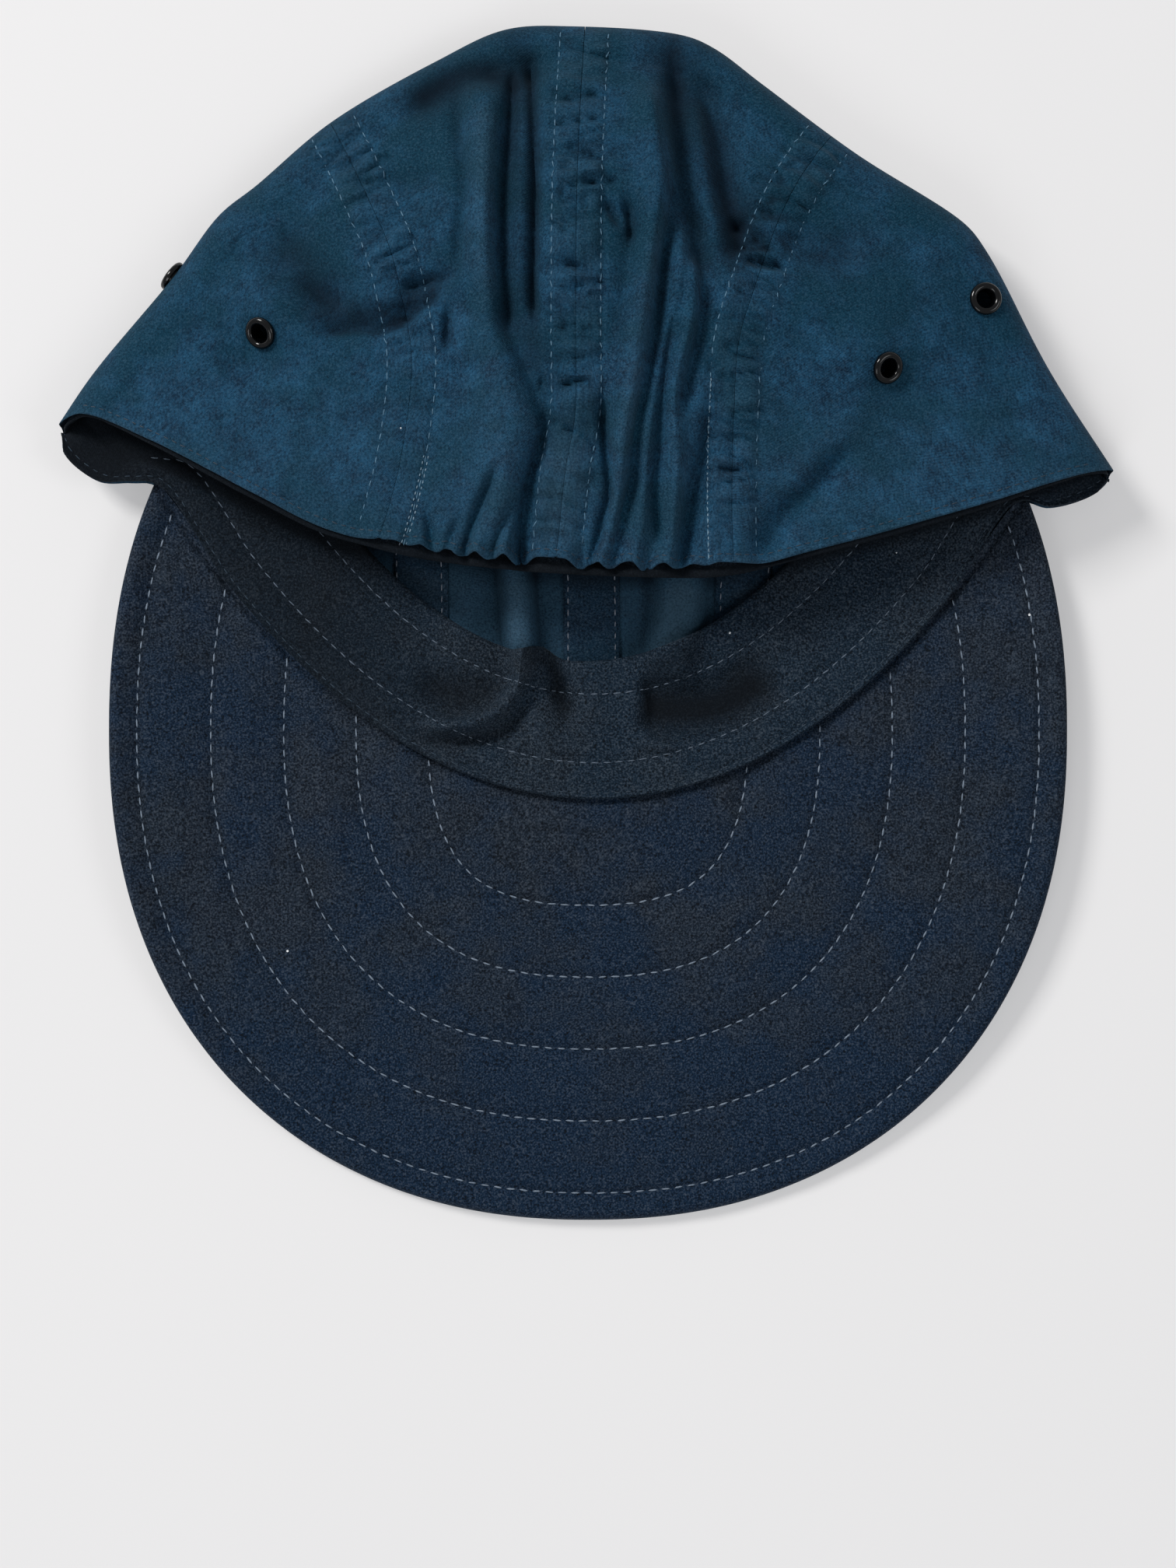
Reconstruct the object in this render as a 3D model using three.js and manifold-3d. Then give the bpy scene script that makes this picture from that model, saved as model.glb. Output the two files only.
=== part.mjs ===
// A soft four panel cap lying on its front: the peak's top face is down, and the back of the crown is on top.
// Millimetres, +Z up. X runs across the cap and Y from the peak's tip to the top of the crown.
// The crown is a flattened bag: a front sheet on the floor and a back sheet above it meet along a round fold.

import * as THREE from "three";
import { mergeVertices } from "three/addons/utils/BufferGeometryUtils.js";
import Module from "manifold-3d";

// Cloth
const CROWN_CLOTH = 1.1;
const TAPE_CLOTH = 1.0;
const BAND_CLOTH = 1.2;
const COVER_CLOTH = 1.4;
const GAP = 0.3;
const TAPE_HALF_WIDTH = 5.3;
const BAND_WIDTH = 29.4; // from the hem
const BAND_START = 1;
const BAND_DEPTH = 3.6; // from the crown's outer face to the band's, past the tapes and the peak's seam allowance

// Crown, lying
const FOLD_HEIGHT = 9; // of the outline above the floor, which is also the radius of the fold
const SHOULDER_HEIGHT = 18; // of the back sheet, one fold radius inside the outline
const SIDE_RISE = 8;
const CENTRE_RISE = 10;
const RISE_HALF_WIDTH = 45;
const RISE_REACH = 22;
const HEM_DROP = 9;
const HEM_REACH = 22;
const HEM_HALF_WIDTH = 60;

// Peak
const PEAK_HALF_WIDTH = 104.2;
const PEAK_CENTRE_Y = 11.5;
const PEAK_FRONT_REACH = 106.2;
const PEAK_BACK_REACH = 111.5;
const PEAK_ROUNDNESS = 2.22; // exponent of the outline's superellipse
const PEAK_START_ANGLE = THREE.MathUtils.degToRad(155.2);
const PEAK_END_ANGLE = THREE.MathUtils.degToRad(382.2);
const PEAK_RIM_PINCH = 0.8;
const PEAK_ALLOWANCE = 5;
const SIDE_LIFT = 6; // how far the peak's sides curl up from the floor
const LIFT_START = 40;
const LIFT_REACH = 45; // how far above the hem the crown's front still follows the peak
const LIFT_EDGE = 20; // and how far inside the outline it starts to

// Seam between peak and crown, a shallow arc
const ARC_LOW = -3.7;
const ARC_DEPTH = 351;
const ARC_HALF = 160;
const ARC_END = 93.5;
const ARC_TILT = -0.02;

// Eyelets
const EYELET_HOLE = 1.9;
const EYELET_BARREL = 2.4;
const EYELET_RIM = 3.5;
const EYELET_BACK_RIM = 3.2;
const EYELET_DEPTH = 2.4;
const EYELET_METAL = 0.6;
const EYELET_SIDES = 14;

// The fold round the lying crown, from the left hem corner over the top to the right hem corner
const OUTLINE = [
  { x: -113.5, y: 77 },
  { x: -106, y: 88 },
  { x: -88.8, y: 108.7 },
  { x: -79, y: 121.9 },
  { x: -71.1, y: 128.2 },
  { x: -55.3, y: 141.6 },
  { x: -32.4, y: 154.9 },
  { x: -17.7, y: 161.6 },
  { x: -2.7, y: 162.3 },
  { x: 20.7, y: 160.3 },
  { x: 27.4, y: 157.4 },
  { x: 37.4, y: 149.9 },
  { x: 57.4, y: 135.1 },
  { x: 80.8, y: 120 },
  { x: 84.9, y: 114.9 },
  { x: 99.2, y: 88.1 },
  { x: 112.7, y: 67.1 },
];

// The back hem, from corner to corner
const BACK_HEM = [
  { x: -113.5, y: 77 },
  { x: -107.9, y: 78.9 },
  { x: -92, y: 72.7 },
  { x: -69.8, y: 61.1 },
  { x: -53.6, y: 53.3 },
  { x: -27.3, y: 48.2 },
  { x: 1.8, y: 45.6 },
  { x: 30.9, y: 45.7 },
  { x: 50.2, y: 50 },
  { x: 82.8, y: 59.1 },
  { x: 105, y: 66 },
  { x: 112.7, y: 67.1 },
];

// The front hem between each hem corner and the peak's end
const LEFT_HEM_CORNER = [
  { x: -113.5, y: 77 },
  { x: -112.5, y: 71.2 },
  { x: -105.4, y: 65.4 },
  { x: -98.5, y: 65.2 },
];
const RIGHT_HEM_CORNER = [
  { x: 99.5, y: 59.8 },
  { x: 107.4, y: 61.8 },
  { x: 112, y: 65 },
  { x: 112.7, y: 67.1 },
];

// The seams between the panels: where each crosses the fold, and its way down the back and the front sheet
const SEAMS = [
  {
    name: "left",
    fold: { x: -55.3, y: 141.6 },
    back: [
      { x: -47.8, y: 127.8 },
      { x: -40.2, y: 108 },
      { x: -36.6, y: 88 },
      { x: -38.8, y: 72 },
      { x: -43.3, y: 51.1 },
    ],
    front: [
      { x: -40, y: 95 },
      { x: -36.5, y: 44.4 },
      { x: -37.3, y: 5.9 },
    ],
  },
  {
    name: "centre",
    fold: { x: -0.6, y: 162.2 },
    back: [
      { x: -1.6, y: 127.3 },
      { x: -1.8, y: 83.7 },
      { x: -4.2, y: 67.6 },
      { x: -5.8, y: 47.3 },
    ],
    front: [
      { x: 0.6, y: 90 },
      { x: 0.7, y: 44.4 },
      { x: 1, y: -3.7 },
    ],
  },
  {
    name: "right",
    fold: { x: 52.4, y: 138.8 },
    back: [
      { x: 42.5, y: 124.3 },
      { x: 36.6, y: 107.6 },
      { x: 30.8, y: 88 },
      { x: 29.2, y: 64 },
      { x: 29.6, y: 45.8 },
    ],
    front: [
      { x: 40, y: 90 },
      { x: 34, y: 43.8 },
      { x: 36, y: 4.2 },
    ],
  },
];

// Folds in the back sheet: ridges stand up and valleys sink by rise, over a half width, along a path
const BACK_FOLDS = [
  { name: "long ridge left of centre", rise: 4, halfWidth: 5, path: [[-22.6, 145.4], [-22.8, 102.5], [-24, 78]] },
  { name: "long valley left of centre", rise: -5, halfWidth: 3.6, path: [[-16.5, 145.8], [-17.2, 122], [-18.2, 99]] },
  { name: "its lower run", rise: -4, halfWidth: 4, path: [[-18.2, 99], [-12.8, 87], [-9.6, 75.3], [-13, 60]] },
  { name: "outer left valley", rise: -3, halfWidth: 3.5, path: [[-26.9, 143.8], [-26.7, 107.6], [-29, 95]] },
  { name: "puff beside the left seam", rise: 3, halfWidth: 7, path: [[-25.1, 94], [-22.5, 78.4], [-27, 58]] },
  { name: "ridge right of centre", rise: 4, halfWidth: 4, path: [[16, 154.5], [14, 127.6], [7.7, 90.9], [5.3, 54]] },
  { name: "long valley right of centre", rise: -5, halfWidth: 3.4, path: [[18.1, 150], [14.4, 95], [9.8, 60], [7.1, 49.9]] },
  { name: "second ridge right", rise: 3.5, halfWidth: 3.2, path: [[20.5, 121], [18.8, 103.2], [13.3, 75.3], [11, 50]] },
  { name: "third ridge right", rise: 3, halfWidth: 3.4, path: [[22.9, 111.5], [22, 91.3], [18.8, 70], [17.5, 50]] },
  { name: "valley at the right seam", rise: -3, halfWidth: 5, path: [[22, 150], [27.8, 136], [31.3, 108.7]] },
  { name: "upper left dent", rise: -2.5, halfWidth: 8, path: [[-66, 122], [-58.1, 108.9], [-50, 97]] },
  { name: "lower right fold", rise: -3, halfWidth: 5, path: [[56, 74], [43.6, 59.7], [37.6, 51]] },
  { name: "lower right ridge", rise: 2, halfWidth: 5, path: [[49.3, 77], [36, 61]] },
];

// Gathers that the elastic draws into the back hem, where the hem's cloth arches up between its stitches
const GATHERS = [
  { x: -31.5, y: 49, rise: 2.2 },
  { x: -24.5, y: 48, rise: 2.4 },
  { x: -17.5, y: 47.5, rise: 2 },
  { x: 7, y: 45.5, rise: 2.6 },
  { x: 14.5, y: 45.5, rise: 2.4 },
  { x: 22, y: 45.5, rise: 2 },
];
const GATHER_HALF_WIDTH = 2.4;
const GATHER_REACH = 16;

// The points that the sweatband's width runs towards, on either sheet
const FRONT_AIM = { x: 0, y: 110 };
const BACK_AIM = { x: 0, y: 300 };

// Two ridges where the slack front sheet stands up from the floor
const FRONT_FOLDS = [
  { name: "left ridge inside", rise: 7.5, halfWidth: 6, path: [[-14.8, 80], [-14.8, 30], [-18.5, 15]] },
  { name: "right ridge inside", rise: 7, halfWidth: 6.5, path: [[22, 80], [20.5, 46], [13.5, 20]] },
];

// Eyelets, by the sheet that they go through
const EYELETS = [
  { name: "eyelet_left_inner", panel: "crown_panel_left_side", x: -68.6, y: 94.8, onFold: false },
  { name: "eyelet_left_outer", panel: "crown_panel_left_side", x: -88.8, y: 108.7, onFold: true },
  { name: "eyelet_right_inner", panel: "crown_panel_right_side", x: 62.5, y: 87.1, onFold: false },
  { name: "eyelet_right_outer", panel: "crown_panel_right_side", x: 84, y: 101.6, onFold: false },
];

// Fineness of the meshes
const FRONT_ROWS = 10;
const BACK_ROWS = 17;
const ROW_CROWDING = 1.5; // rows crowd together towards the fold
const SIDE_COLUMNS = 9;
const CENTRE_COLUMNS = 8;
const COLUMN_CROWDING = 1.6; // and the side panels' columns towards the hem corners
const SIDE_SPAN = 95; // millimetres between two whole columns of a side panel
const CENTRE_SPAN = 42;
const BAND_FRONT_STEPS = 38;
const BAND_BACK_STEPS = 46;
const BAND_ROWS = 4;
const BAND_CORNER = 38; // how far from a hem corner the band turns from the fold's direction to the hem's
const BAND_SMOOTHING = 1.5;
const BAND_CROWDING = 0.125; // and its rings' points crowd together towards the corners
const PEAK_STEPS = 36;
const OUTLINE_SAMPLES = 160;

// Materials
const CROWN_CLOTH_LOOK = new THREE.MeshStandardMaterial({ color: 0x1c3c54, roughness: 0.85, metalness: 0 });
const PEAK_CLOTH_LOOK = new THREE.MeshStandardMaterial({ color: 0x202a38, roughness: 0.85, metalness: 0 });
const BAND_CLOTH_LOOK = new THREE.MeshStandardMaterial({ color: 0x222f3b, roughness: 0.85, metalness: 0 });
const EYELET_LOOK = new THREE.MeshStandardMaterial({ color: 0x0b0d10, roughness: 0.2, metalness: 0.6 });

const wasm = await Module();
wasm.setup();

// Small helpers

function lerp(a, b, share) {
  return a + (b - a) * share;
}

function smoothStep(from, to, value) {
  return THREE.MathUtils.smoothstep(value, from, to);
}

function bell(distance, halfWidth) {
  return Math.exp(-((distance / halfWidth) ** 2));
}

function curveThrough(rows) {
  const points = rows.map((row) => new THREE.Vector3(row.x, row.y, 0));
  return new THREE.CatmullRomCurve3(points, false, "centripetal");
}

function sampled(curve, count) {
  return curve.getSpacedPoints(count);
}

// The distance from a point to a line of points, and how far along that line its nearest point is, from 0 to 1.
function nearest(line, x, y) {
  let best = { distance: Infinity, along: 0 };
  for (let i = 0; i + 1 < line.length; i += 1) {
    const a = line[i];
    const b = line[i + 1];
    const dx = b.x - a.x;
    const dy = b.y - a.y;
    const share = THREE.MathUtils.clamp(((x - a.x) * dx + (y - a.y) * dy) / (dx * dx + dy * dy), 0, 1);
    const distance = Math.hypot(a.x + dx * share - x, a.y + dy * share - y);
    if (distance < best.distance) best = { distance, along: (i + share) / (line.length - 1) };
  }
  return best;
}

// Plan curves

function arcY(x) {
  return ARC_LOW + ARC_TILT * x + ARC_DEPTH * (1 - Math.sqrt(1 - (x / ARC_HALF) ** 2));
}

function arcRows() {
  const rows = [];
  for (let i = 0; i <= 12; i += 1) {
    const x = lerp(-ARC_END, ARC_END, i / 12);
    rows.push({ x, y: arcY(x) + GAP });
  }
  return rows;
}

const outline = curveThrough(OUTLINE);
const backHem = curveThrough(BACK_HEM);
const frontHem = curveThrough([...LEFT_HEM_CORNER, ...arcRows(), ...RIGHT_HEM_CORNER]);
const outlineLine = sampled(outline, OUTLINE_SAMPLES);
const backHemLine = sampled(backHem, OUTLINE_SAMPLES);
const frontHemLine = sampled(frontHem, OUTLINE_SAMPLES);

// Heights of the two sheets above the floor

function foldHeight(folds, x, y) {
  let height = 0;
  for (const fold of folds) {
    const line = fold.path.map(([px, py]) => ({ x: px, y: py }));
    height += fold.rise * bell(nearest(line, x, y).distance, fold.halfWidth);
  }
  return height;
}

function gatherHeight(gathers, x, y) {
  let height = 0;
  for (const gather of gathers) {
    height += gather.rise * bell(x - gather.x, GATHER_HALF_WIDTH) * bell(y - gather.y, GATHER_REACH);
  }
  return height;
}

function sideLift(x) {
  const reach = Math.max(0, Math.abs(x) - LIFT_START) / (PEAK_HALF_WIDTH - LIFT_START);
  return SIDE_LIFT * reach * reach;
}

// How far a sheet has turned away from the fold's middle height: 0 on the outline and 1 a fold radius inside it.
function shoulder(distance) {
  const share = Math.min(1, distance / FOLD_HEIGHT);
  return Math.sqrt(Math.max(0, 1 - (1 - share) ** 2));
}

function backHeight(x, y, folds = BACK_FOLDS, gathers = GATHERS) {
  const edge = nearest(outlineLine, x, y).distance;
  const hem = nearest(backHemLine, x, y).distance;
  const rise = SIDE_RISE + CENTRE_RISE * bell(x, RISE_HALF_WIDTH);
  const inside = 1 - Math.exp(-Math.max(0, edge - FOLD_HEIGHT) / RISE_REACH);
  const sag = HEM_DROP * bell(hem, HEM_REACH) * bell(x, HEM_HALF_WIDTH);
  const top = SHOULDER_HEIGHT + rise * inside - sag + foldHeight(folds, x, y) * smoothStep(0, 14, edge);
  return lerp(FOLD_HEIGHT, top, shoulder(edge)) + gatherHeight(gathers, x, y);
}

function frontHeight(x, y) {
  const edge = nearest(outlineLine, x, y).distance;
  const hem = nearest(frontHemLine, x, y).distance;
  const lift = sideLift(x) * bell(hem, LIFT_REACH) * smoothStep(0, LIFT_EDGE, edge);
  const folds = foldHeight(FRONT_FOLDS, x, y) * smoothStep(8, 40, hem);
  return lerp(FOLD_HEIGHT, lift + folds, shoulder(edge));
}

// Columns of the crown's cloth run from the front hem over the fold to the back hem.
// Column -2 is the left hem corner, -1, 0 and 1 are the three seams and 2 is the right hem corner.

function seamKnot(seam) {
  const back = curveThrough([seam.fold, ...seam.back]);
  const front = curveThrough([seam.fold, ...seam.front]);
  const backEnd = seam.back.at(-1);
  const frontEnd = seam.front.at(-1);
  return {
    fold: nearest(outlineLine, seam.fold.x, seam.fold.y).along,
    back: nearest(backHemLine, backEnd.x, backEnd.y).along,
    front: nearest(frontHemLine, frontEnd.x, frontEnd.y).along,
    backPath: back,
    frontPath: front,
  };
}

const KNOTS = [{ fold: 0, back: 0, front: 0 }, ...SEAMS.map(seamKnot), { fold: 1, back: 1, front: 1 }];

// How far a seam's path lies from the straight line between its ends; a hem corner has no path and no bow.
function bow(path, share) {
  if (!path) return new THREE.Vector3();
  const straight = path.getPoint(0).lerp(path.getPoint(1), share);
  return path.getPointAt(share).sub(straight);
}

function columnPoint(column, row) {
  const index = Math.min(3, Math.max(0, Math.floor(column + 2)));
  const between = column + 2 - index;
  const [a, b] = [KNOTS[index], KNOTS[index + 1]];
  const onBack = row > 0;
  const share = Math.abs(row) ** ROW_CROWDING;
  const fold = outline.getPointAt(lerp(a.fold, b.fold, between));
  const hemCurve = onBack ? backHem : frontHem;
  const hemKey = onBack ? "back" : "front";
  const hem = hemCurve.getPointAt(lerp(a[hemKey], b[hemKey], between));
  const bowA = bow(a[hemKey + "Path"], share);
  const bowB = bow(b[hemKey + "Path"], share);
  const point = fold.lerp(hem, share).add(bowA.lerp(bowB, between));
  if (row === 0) point.z = FOLD_HEIGHT;
  else point.z = onBack ? backHeight(point.x, point.y) : frontHeight(point.x, point.y);
  return point;
}

function rowList() {
  const rows = [];
  for (let i = -FRONT_ROWS; i < 0; i += 1) rows.push(i / FRONT_ROWS);
  for (let i = 0; i <= BACK_ROWS; i += 1) rows.push(i / BACK_ROWS);
  return rows;
}

function centreColumns(start) {
  const tape = TAPE_HALF_WIDTH / CENTRE_SPAN;
  const edge = GAP / 2 / CENTRE_SPAN;
  const columns = [start + edge];
  for (let i = 0; i <= CENTRE_COLUMNS; i += 1) columns.push(lerp(start + tape, start + 1 - tape, i / CENTRE_COLUMNS));
  columns.push(start + 1 - edge);
  return columns;
}

function sideColumns(side) {
  const tape = TAPE_HALF_WIDTH / SIDE_SPAN;
  const edge = GAP / 2 / SIDE_SPAN;
  const columns = [];
  for (let i = 0; i <= SIDE_COLUMNS; i += 1) {
    columns.push(lerp(-2, -1 - tape, (i / SIDE_COLUMNS) ** COLUMN_CROWDING));
  }
  columns.push(-1 - edge);
  return side < 0 ? columns : columns.map((column) => -column).reverse();
}

// Grids of points. grid[i][j] is column i, row j.

function sheetGrid(columns) {
  const rows = rowList();
  return columns.map((column) => rows.map((row) => columnPoint(column, row)));
}

// The outward normal at each point of a grid; loops is true where the last column meets the first one.
function gridNormals(grid, loops) {
  const last = grid.length - 1;
  const normals = grid.map((points, i) =>
    points.map((point, j) => {
      const before = grid[i > 0 ? i - 1 : loops ? last : 0];
      const after = grid[i < last ? i + 1 : loops ? 0 : last];
      const across = after[j].clone().sub(before[j]);
      const along = points[Math.min(j + 1, points.length - 1)].clone().sub(points[Math.max(j - 1, 0)]);
      return along.cross(across).normalize();
    }),
  );
  for (const i of [0, last]) {
    const span = grid[i][0].distanceTo(grid[i].at(-1));
    if (span > 0.01) continue;
    const mean = normals[i === 0 ? 1 : last - 1].reduce((sum, n) => sum.add(n), new THREE.Vector3()).normalize();
    normals[i].forEach((normal) => normal.copy(mean));
  }
  return normals;
}

// The two columns beside a seam get one normal, so that the gap between their panels stays even.
function shareNormals(normals, second) {
  normals[second].forEach((normal, j) => {
    normal.add(normals[second - 1][j]).normalize();
    normals[second - 1][j].copy(normal);
  });
}

function sunk(grid, normals, depth) {
  return grid.map((points, i) => points.map((point, j) => point.clone().addScaledVector(normals[i][j], -depth)));
}

// Solids

// A geometry with its doubled corners merged, its collapsed triangles dropped and its faces turned outwards.
function closedGeometry(positions) {
  const loose = new THREE.BufferGeometry();
  loose.setAttribute("position", new THREE.BufferAttribute(new Float32Array(positions), 3));
  const merged = mergeVertices(loose, 1e-3);
  const at = merged.getAttribute("position");
  const [a, b, c] = [new THREE.Vector3(), new THREE.Vector3(), new THREE.Vector3()];
  const kept = [];
  let volume = 0;
  for (let i = 0; i < merged.index.count; i += 3) {
    const [p, q, r] = [merged.index.getX(i), merged.index.getX(i + 1), merged.index.getX(i + 2)];
    if (p === q || q === r || r === p) continue;
    kept.push([p, q, r]);
    a.fromBufferAttribute(at, p);
    b.fromBufferAttribute(at, q);
    c.fromBufferAttribute(at, r);
    volume += a.dot(b.cross(c)) / 6;
  }
  const faces = volume < 0 ? kept.map(([p, q, r]) => [r, q, p]) : kept;
  merged.setIndex(faces.flat());
  merged.computeVertexNormals();
  return merged;
}

// A wall between two grids of the same size, closed along its edges.
function slab(outer, inner, loops = false) {
  const positions = [];
  const quad = (a, b, c, d) => {
    for (const point of [a, b, c, a, c, d]) positions.push(point.x, point.y, point.z);
  };
  const columns = outer.length;
  const rows = outer[0].length;
  const steps = loops ? columns : columns - 1;
  for (let i = 0; i < steps; i += 1) {
    const next = (i + 1) % columns;
    for (let j = 0; j + 1 < rows; j += 1) {
      quad(outer[i][j], outer[next][j], outer[next][j + 1], outer[i][j + 1]);
      quad(inner[i][j], inner[i][j + 1], inner[next][j + 1], inner[next][j]);
    }
    quad(inner[i][0], inner[next][0], outer[next][0], outer[i][0]);
    quad(outer[i][rows - 1], outer[next][rows - 1], inner[next][rows - 1], inner[i][rows - 1]);
  }
  if (!loops) {
    for (let j = 0; j + 1 < rows; j += 1) {
      quad(outer[0][j], outer[0][j + 1], inner[0][j + 1], inner[0][j]);
      quad(inner[columns - 1][j], inner[columns - 1][j + 1], outer[columns - 1][j + 1], outer[columns - 1][j]);
    }
  }
  return closedGeometry(positions);
}

function solidOf(geometry) {
  const bare = new THREE.BufferGeometry();
  bare.setAttribute("position", geometry.getAttribute("position"));
  bare.setIndex(geometry.index);
  const merged = mergeVertices(bare, 1e-3);
  return new wasm.Manifold(
    new wasm.Mesh({
      numProp: 3,
      vertProperties: new Float32Array(merged.getAttribute("position").array),
      triVerts: new Uint32Array(merged.index.array),
    }),
  );
}

function geometryOf(solid) {
  const mesh = solid.getMesh();
  const geometry = new THREE.BufferGeometry();
  geometry.setAttribute("position", new THREE.BufferAttribute(new Float32Array(mesh.vertProperties), 3));
  geometry.setIndex(Array.from(mesh.triVerts));
  geometry.computeVertexNormals();
  return geometry;
}

function namedMesh(name, geometry, material) {
  const mesh = new THREE.Mesh(geometry, material);
  mesh.name = name;
  return mesh;
}

// Crown: one grid over all four panels gives the normals, and each panel is a run of its columns.

const PANELS = [
  { name: "crown_panel_left_side", columns: sideColumns(-1) },
  { name: "crown_panel_left_centre", columns: centreColumns(-1) },
  { name: "crown_panel_right_centre", columns: centreColumns(0) },
  { name: "crown_panel_right_side", columns: sideColumns(1) },
];

const crownColumns = PANELS.flatMap((panel) => panel.columns);
const crownGrid = sheetGrid(crownColumns);
const crownNormals = gridNormals(crownGrid, false);
for (const seamColumn of [-1, 0, 1]) shareNormals(crownNormals, crownColumns.findIndex((c) => c > seamColumn));
const crownInside = sunk(crownGrid, crownNormals, CROWN_CLOTH);

function panelGeometry(panel) {
  const start = crownColumns.indexOf(panel.columns[0]);
  const end = start + panel.columns.length;
  return slab(crownGrid.slice(start, end), crownInside.slice(start, end));
}

// Each tape covers a seam inside, and follows the crown's own columns beside that seam.
// It stops short of the front hem, under the sweatband, where the peak's seam allowance lies.
function tapeGeometry(seamColumn) {
  const first = crownColumns.findIndex((column) => column > seamColumn) - 2;
  const picked = [first, first + 1, first + 2, first + 3];
  const grid = picked.map((i) => crownGrid[i].slice(1));
  const normals = picked.map((i) => crownNormals[i].slice(1));
  const outer = sunk(grid, normals, CROWN_CLOTH + GAP);
  const inner = sunk(grid, normals, CROWN_CLOTH + GAP + TAPE_CLOTH);
  return slab(outer, inner);
}

// Sweatband: rings round the whole hem opening, each a set height above the hem.

// A point of the band on one sheet: near a hem corner it runs along the fold, elsewhere straight in from the hem.
function bandPoint(hemCurve, aim, share, height, sheetHeight) {
  const length = hemCurve.getLength();
  const onLeft = share < 0.5;
  const fromCorner = (onLeft ? share : 1 - share) * length;
  const base = hemCurve.getPointAt(share);
  const corner = hemCurve.getPointAt(onLeft ? 0 : 1);
  const foldShare = height / outline.getLength();
  const fold = outline.getPointAt(onLeft ? foldShare : 1 - foldShare);
  const nearCorner = fold.clone().add(base).sub(corner);
  const inward = new THREE.Vector3(aim.x - base.x, aim.y - base.y, 0).normalize();
  const inner = base.clone().addScaledVector(inward, height);
  const point = nearCorner.lerp(inner, smoothStep(0, BAND_CORNER, fromCorner));
  point.z = fromCorner < 0.01 ? FOLD_HEIGHT : sheetHeight(point.x, point.y);
  return point;
}

// At the back the elastic keeps the band smooth: it follows the crown's valleys, made wider, and no ridge or gather.
const BAND_FOLDS = BACK_FOLDS.filter((fold) => fold.rise < 0).map((fold) => ({
  ...fold,
  halfWidth: fold.halfWidth * BAND_SMOOTHING,
}));

function bandBackHeight(x, y) {
  return backHeight(x, y, BAND_FOLDS, []);
}

function bandShares(steps) {
  const shares = [];
  for (let i = 0; i < steps; i += 1) {
    const even = i / steps;
    shares.push(even - BAND_CROWDING * Math.sin(2 * Math.PI * even));
  }
  return shares;
}

function sweatbandGeometry() {
  const heights = [];
  for (let j = 0; j <= BAND_ROWS; j += 1) heights.push(lerp(BAND_START, BAND_WIDTH, j / BAND_ROWS));
  const front = bandShares(BAND_FRONT_STEPS).map((share) =>
    heights.map((height) => bandPoint(frontHem, FRONT_AIM, share, height, frontHeight)),
  );
  const back = bandShares(BAND_BACK_STEPS).map((share) =>
    heights.map((height) => bandPoint(backHem, BACK_AIM, 1 - share, height, bandBackHeight)),
  );
  const grid = [...front, ...back];
  const normals = gridNormals(grid, true);
  return slab(sunk(grid, normals, BAND_DEPTH), sunk(grid, normals, BAND_DEPTH + BAND_CLOTH), true);
}

// Peak: two covers between the crown's seam and the rim, pinched together at the rim.

function power(value, exponent) {
  return Math.sign(value) * Math.abs(value) ** exponent;
}

function rimPoint(share) {
  const angle = lerp(PEAK_START_ANGLE, PEAK_END_ANGLE, share);
  const reach = Math.sin(angle) > 0 ? PEAK_BACK_REACH : PEAK_FRONT_REACH;
  const x = PEAK_HALF_WIDTH * power(Math.cos(angle), 2 / PEAK_ROUNDNESS);
  const y = PEAK_CENTRE_Y + reach * power(Math.sin(angle), 2 / PEAK_ROUNDNESS);
  return new THREE.Vector3(x, y, 0);
}

// The cover's inner edge, carried past the seam by its allowance, which runs out at the peak's ends.
function seamEdgePoint(share, allowance) {
  const x = lerp(-ARC_END + 2, ARC_END - 2, share);
  const turnedIn = allowance * Math.sin(Math.PI * share) ** 0.5;
  return new THREE.Vector3(x, arcY(x) + turnedIn, 0);
}

function coverGeometry(bottomHeight, topHeight, allowance, pinchTop, pinchBottom) {
  const stations = [0, 0.3, 0.6, 0.85, 0.955, 1];
  const bottom = [];
  const top = [];
  for (let i = 0; i <= PEAK_STEPS; i += 1) {
    const share = i / PEAK_STEPS;
    const rim = rimPoint(share);
    const edge = seamEdgePoint(share, allowance);
    const line = stations.map((station) => edge.clone().lerp(rim, station));
    const pinch = stations.map((station) => (station === 1 ? 1 : 0));
    bottom.push(line.map((p, j) => new THREE.Vector3(p.x, p.y, sideLift(p.x) + bottomHeight + pinchBottom * pinch[j])));
    top.push(line.map((p, j) => new THREE.Vector3(p.x, p.y, sideLift(p.x) + topHeight - pinchTop * pinch[j])));
  }
  return slab(top, bottom);
}

// Eyelets: a rolled metal ring with a barrel through the cloth and a flat washer behind it.

function eyeletGeometry() {
  const profile = [
    [EYELET_HOLE, -EYELET_DEPTH - EYELET_METAL],
    [EYELET_HOLE, GAP + 0.45],
    [EYELET_BARREL, GAP + 0.85],
    [EYELET_RIM - 0.4, GAP + 0.6],
    [EYELET_RIM, GAP],
    [EYELET_BARREL, GAP],
    [EYELET_BARREL, -EYELET_DEPTH],
    [EYELET_BACK_RIM, -EYELET_DEPTH],
    [EYELET_BACK_RIM, -EYELET_DEPTH - EYELET_METAL],
    [EYELET_HOLE, -EYELET_DEPTH - EYELET_METAL],
  ].map(([radius, height]) => new THREE.Vector2(radius, height));
  const lathe = new THREE.LatheGeometry(profile, EYELET_SIDES).toNonIndexed();
  return closedGeometry(lathe.getAttribute("position").array);
}

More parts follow.
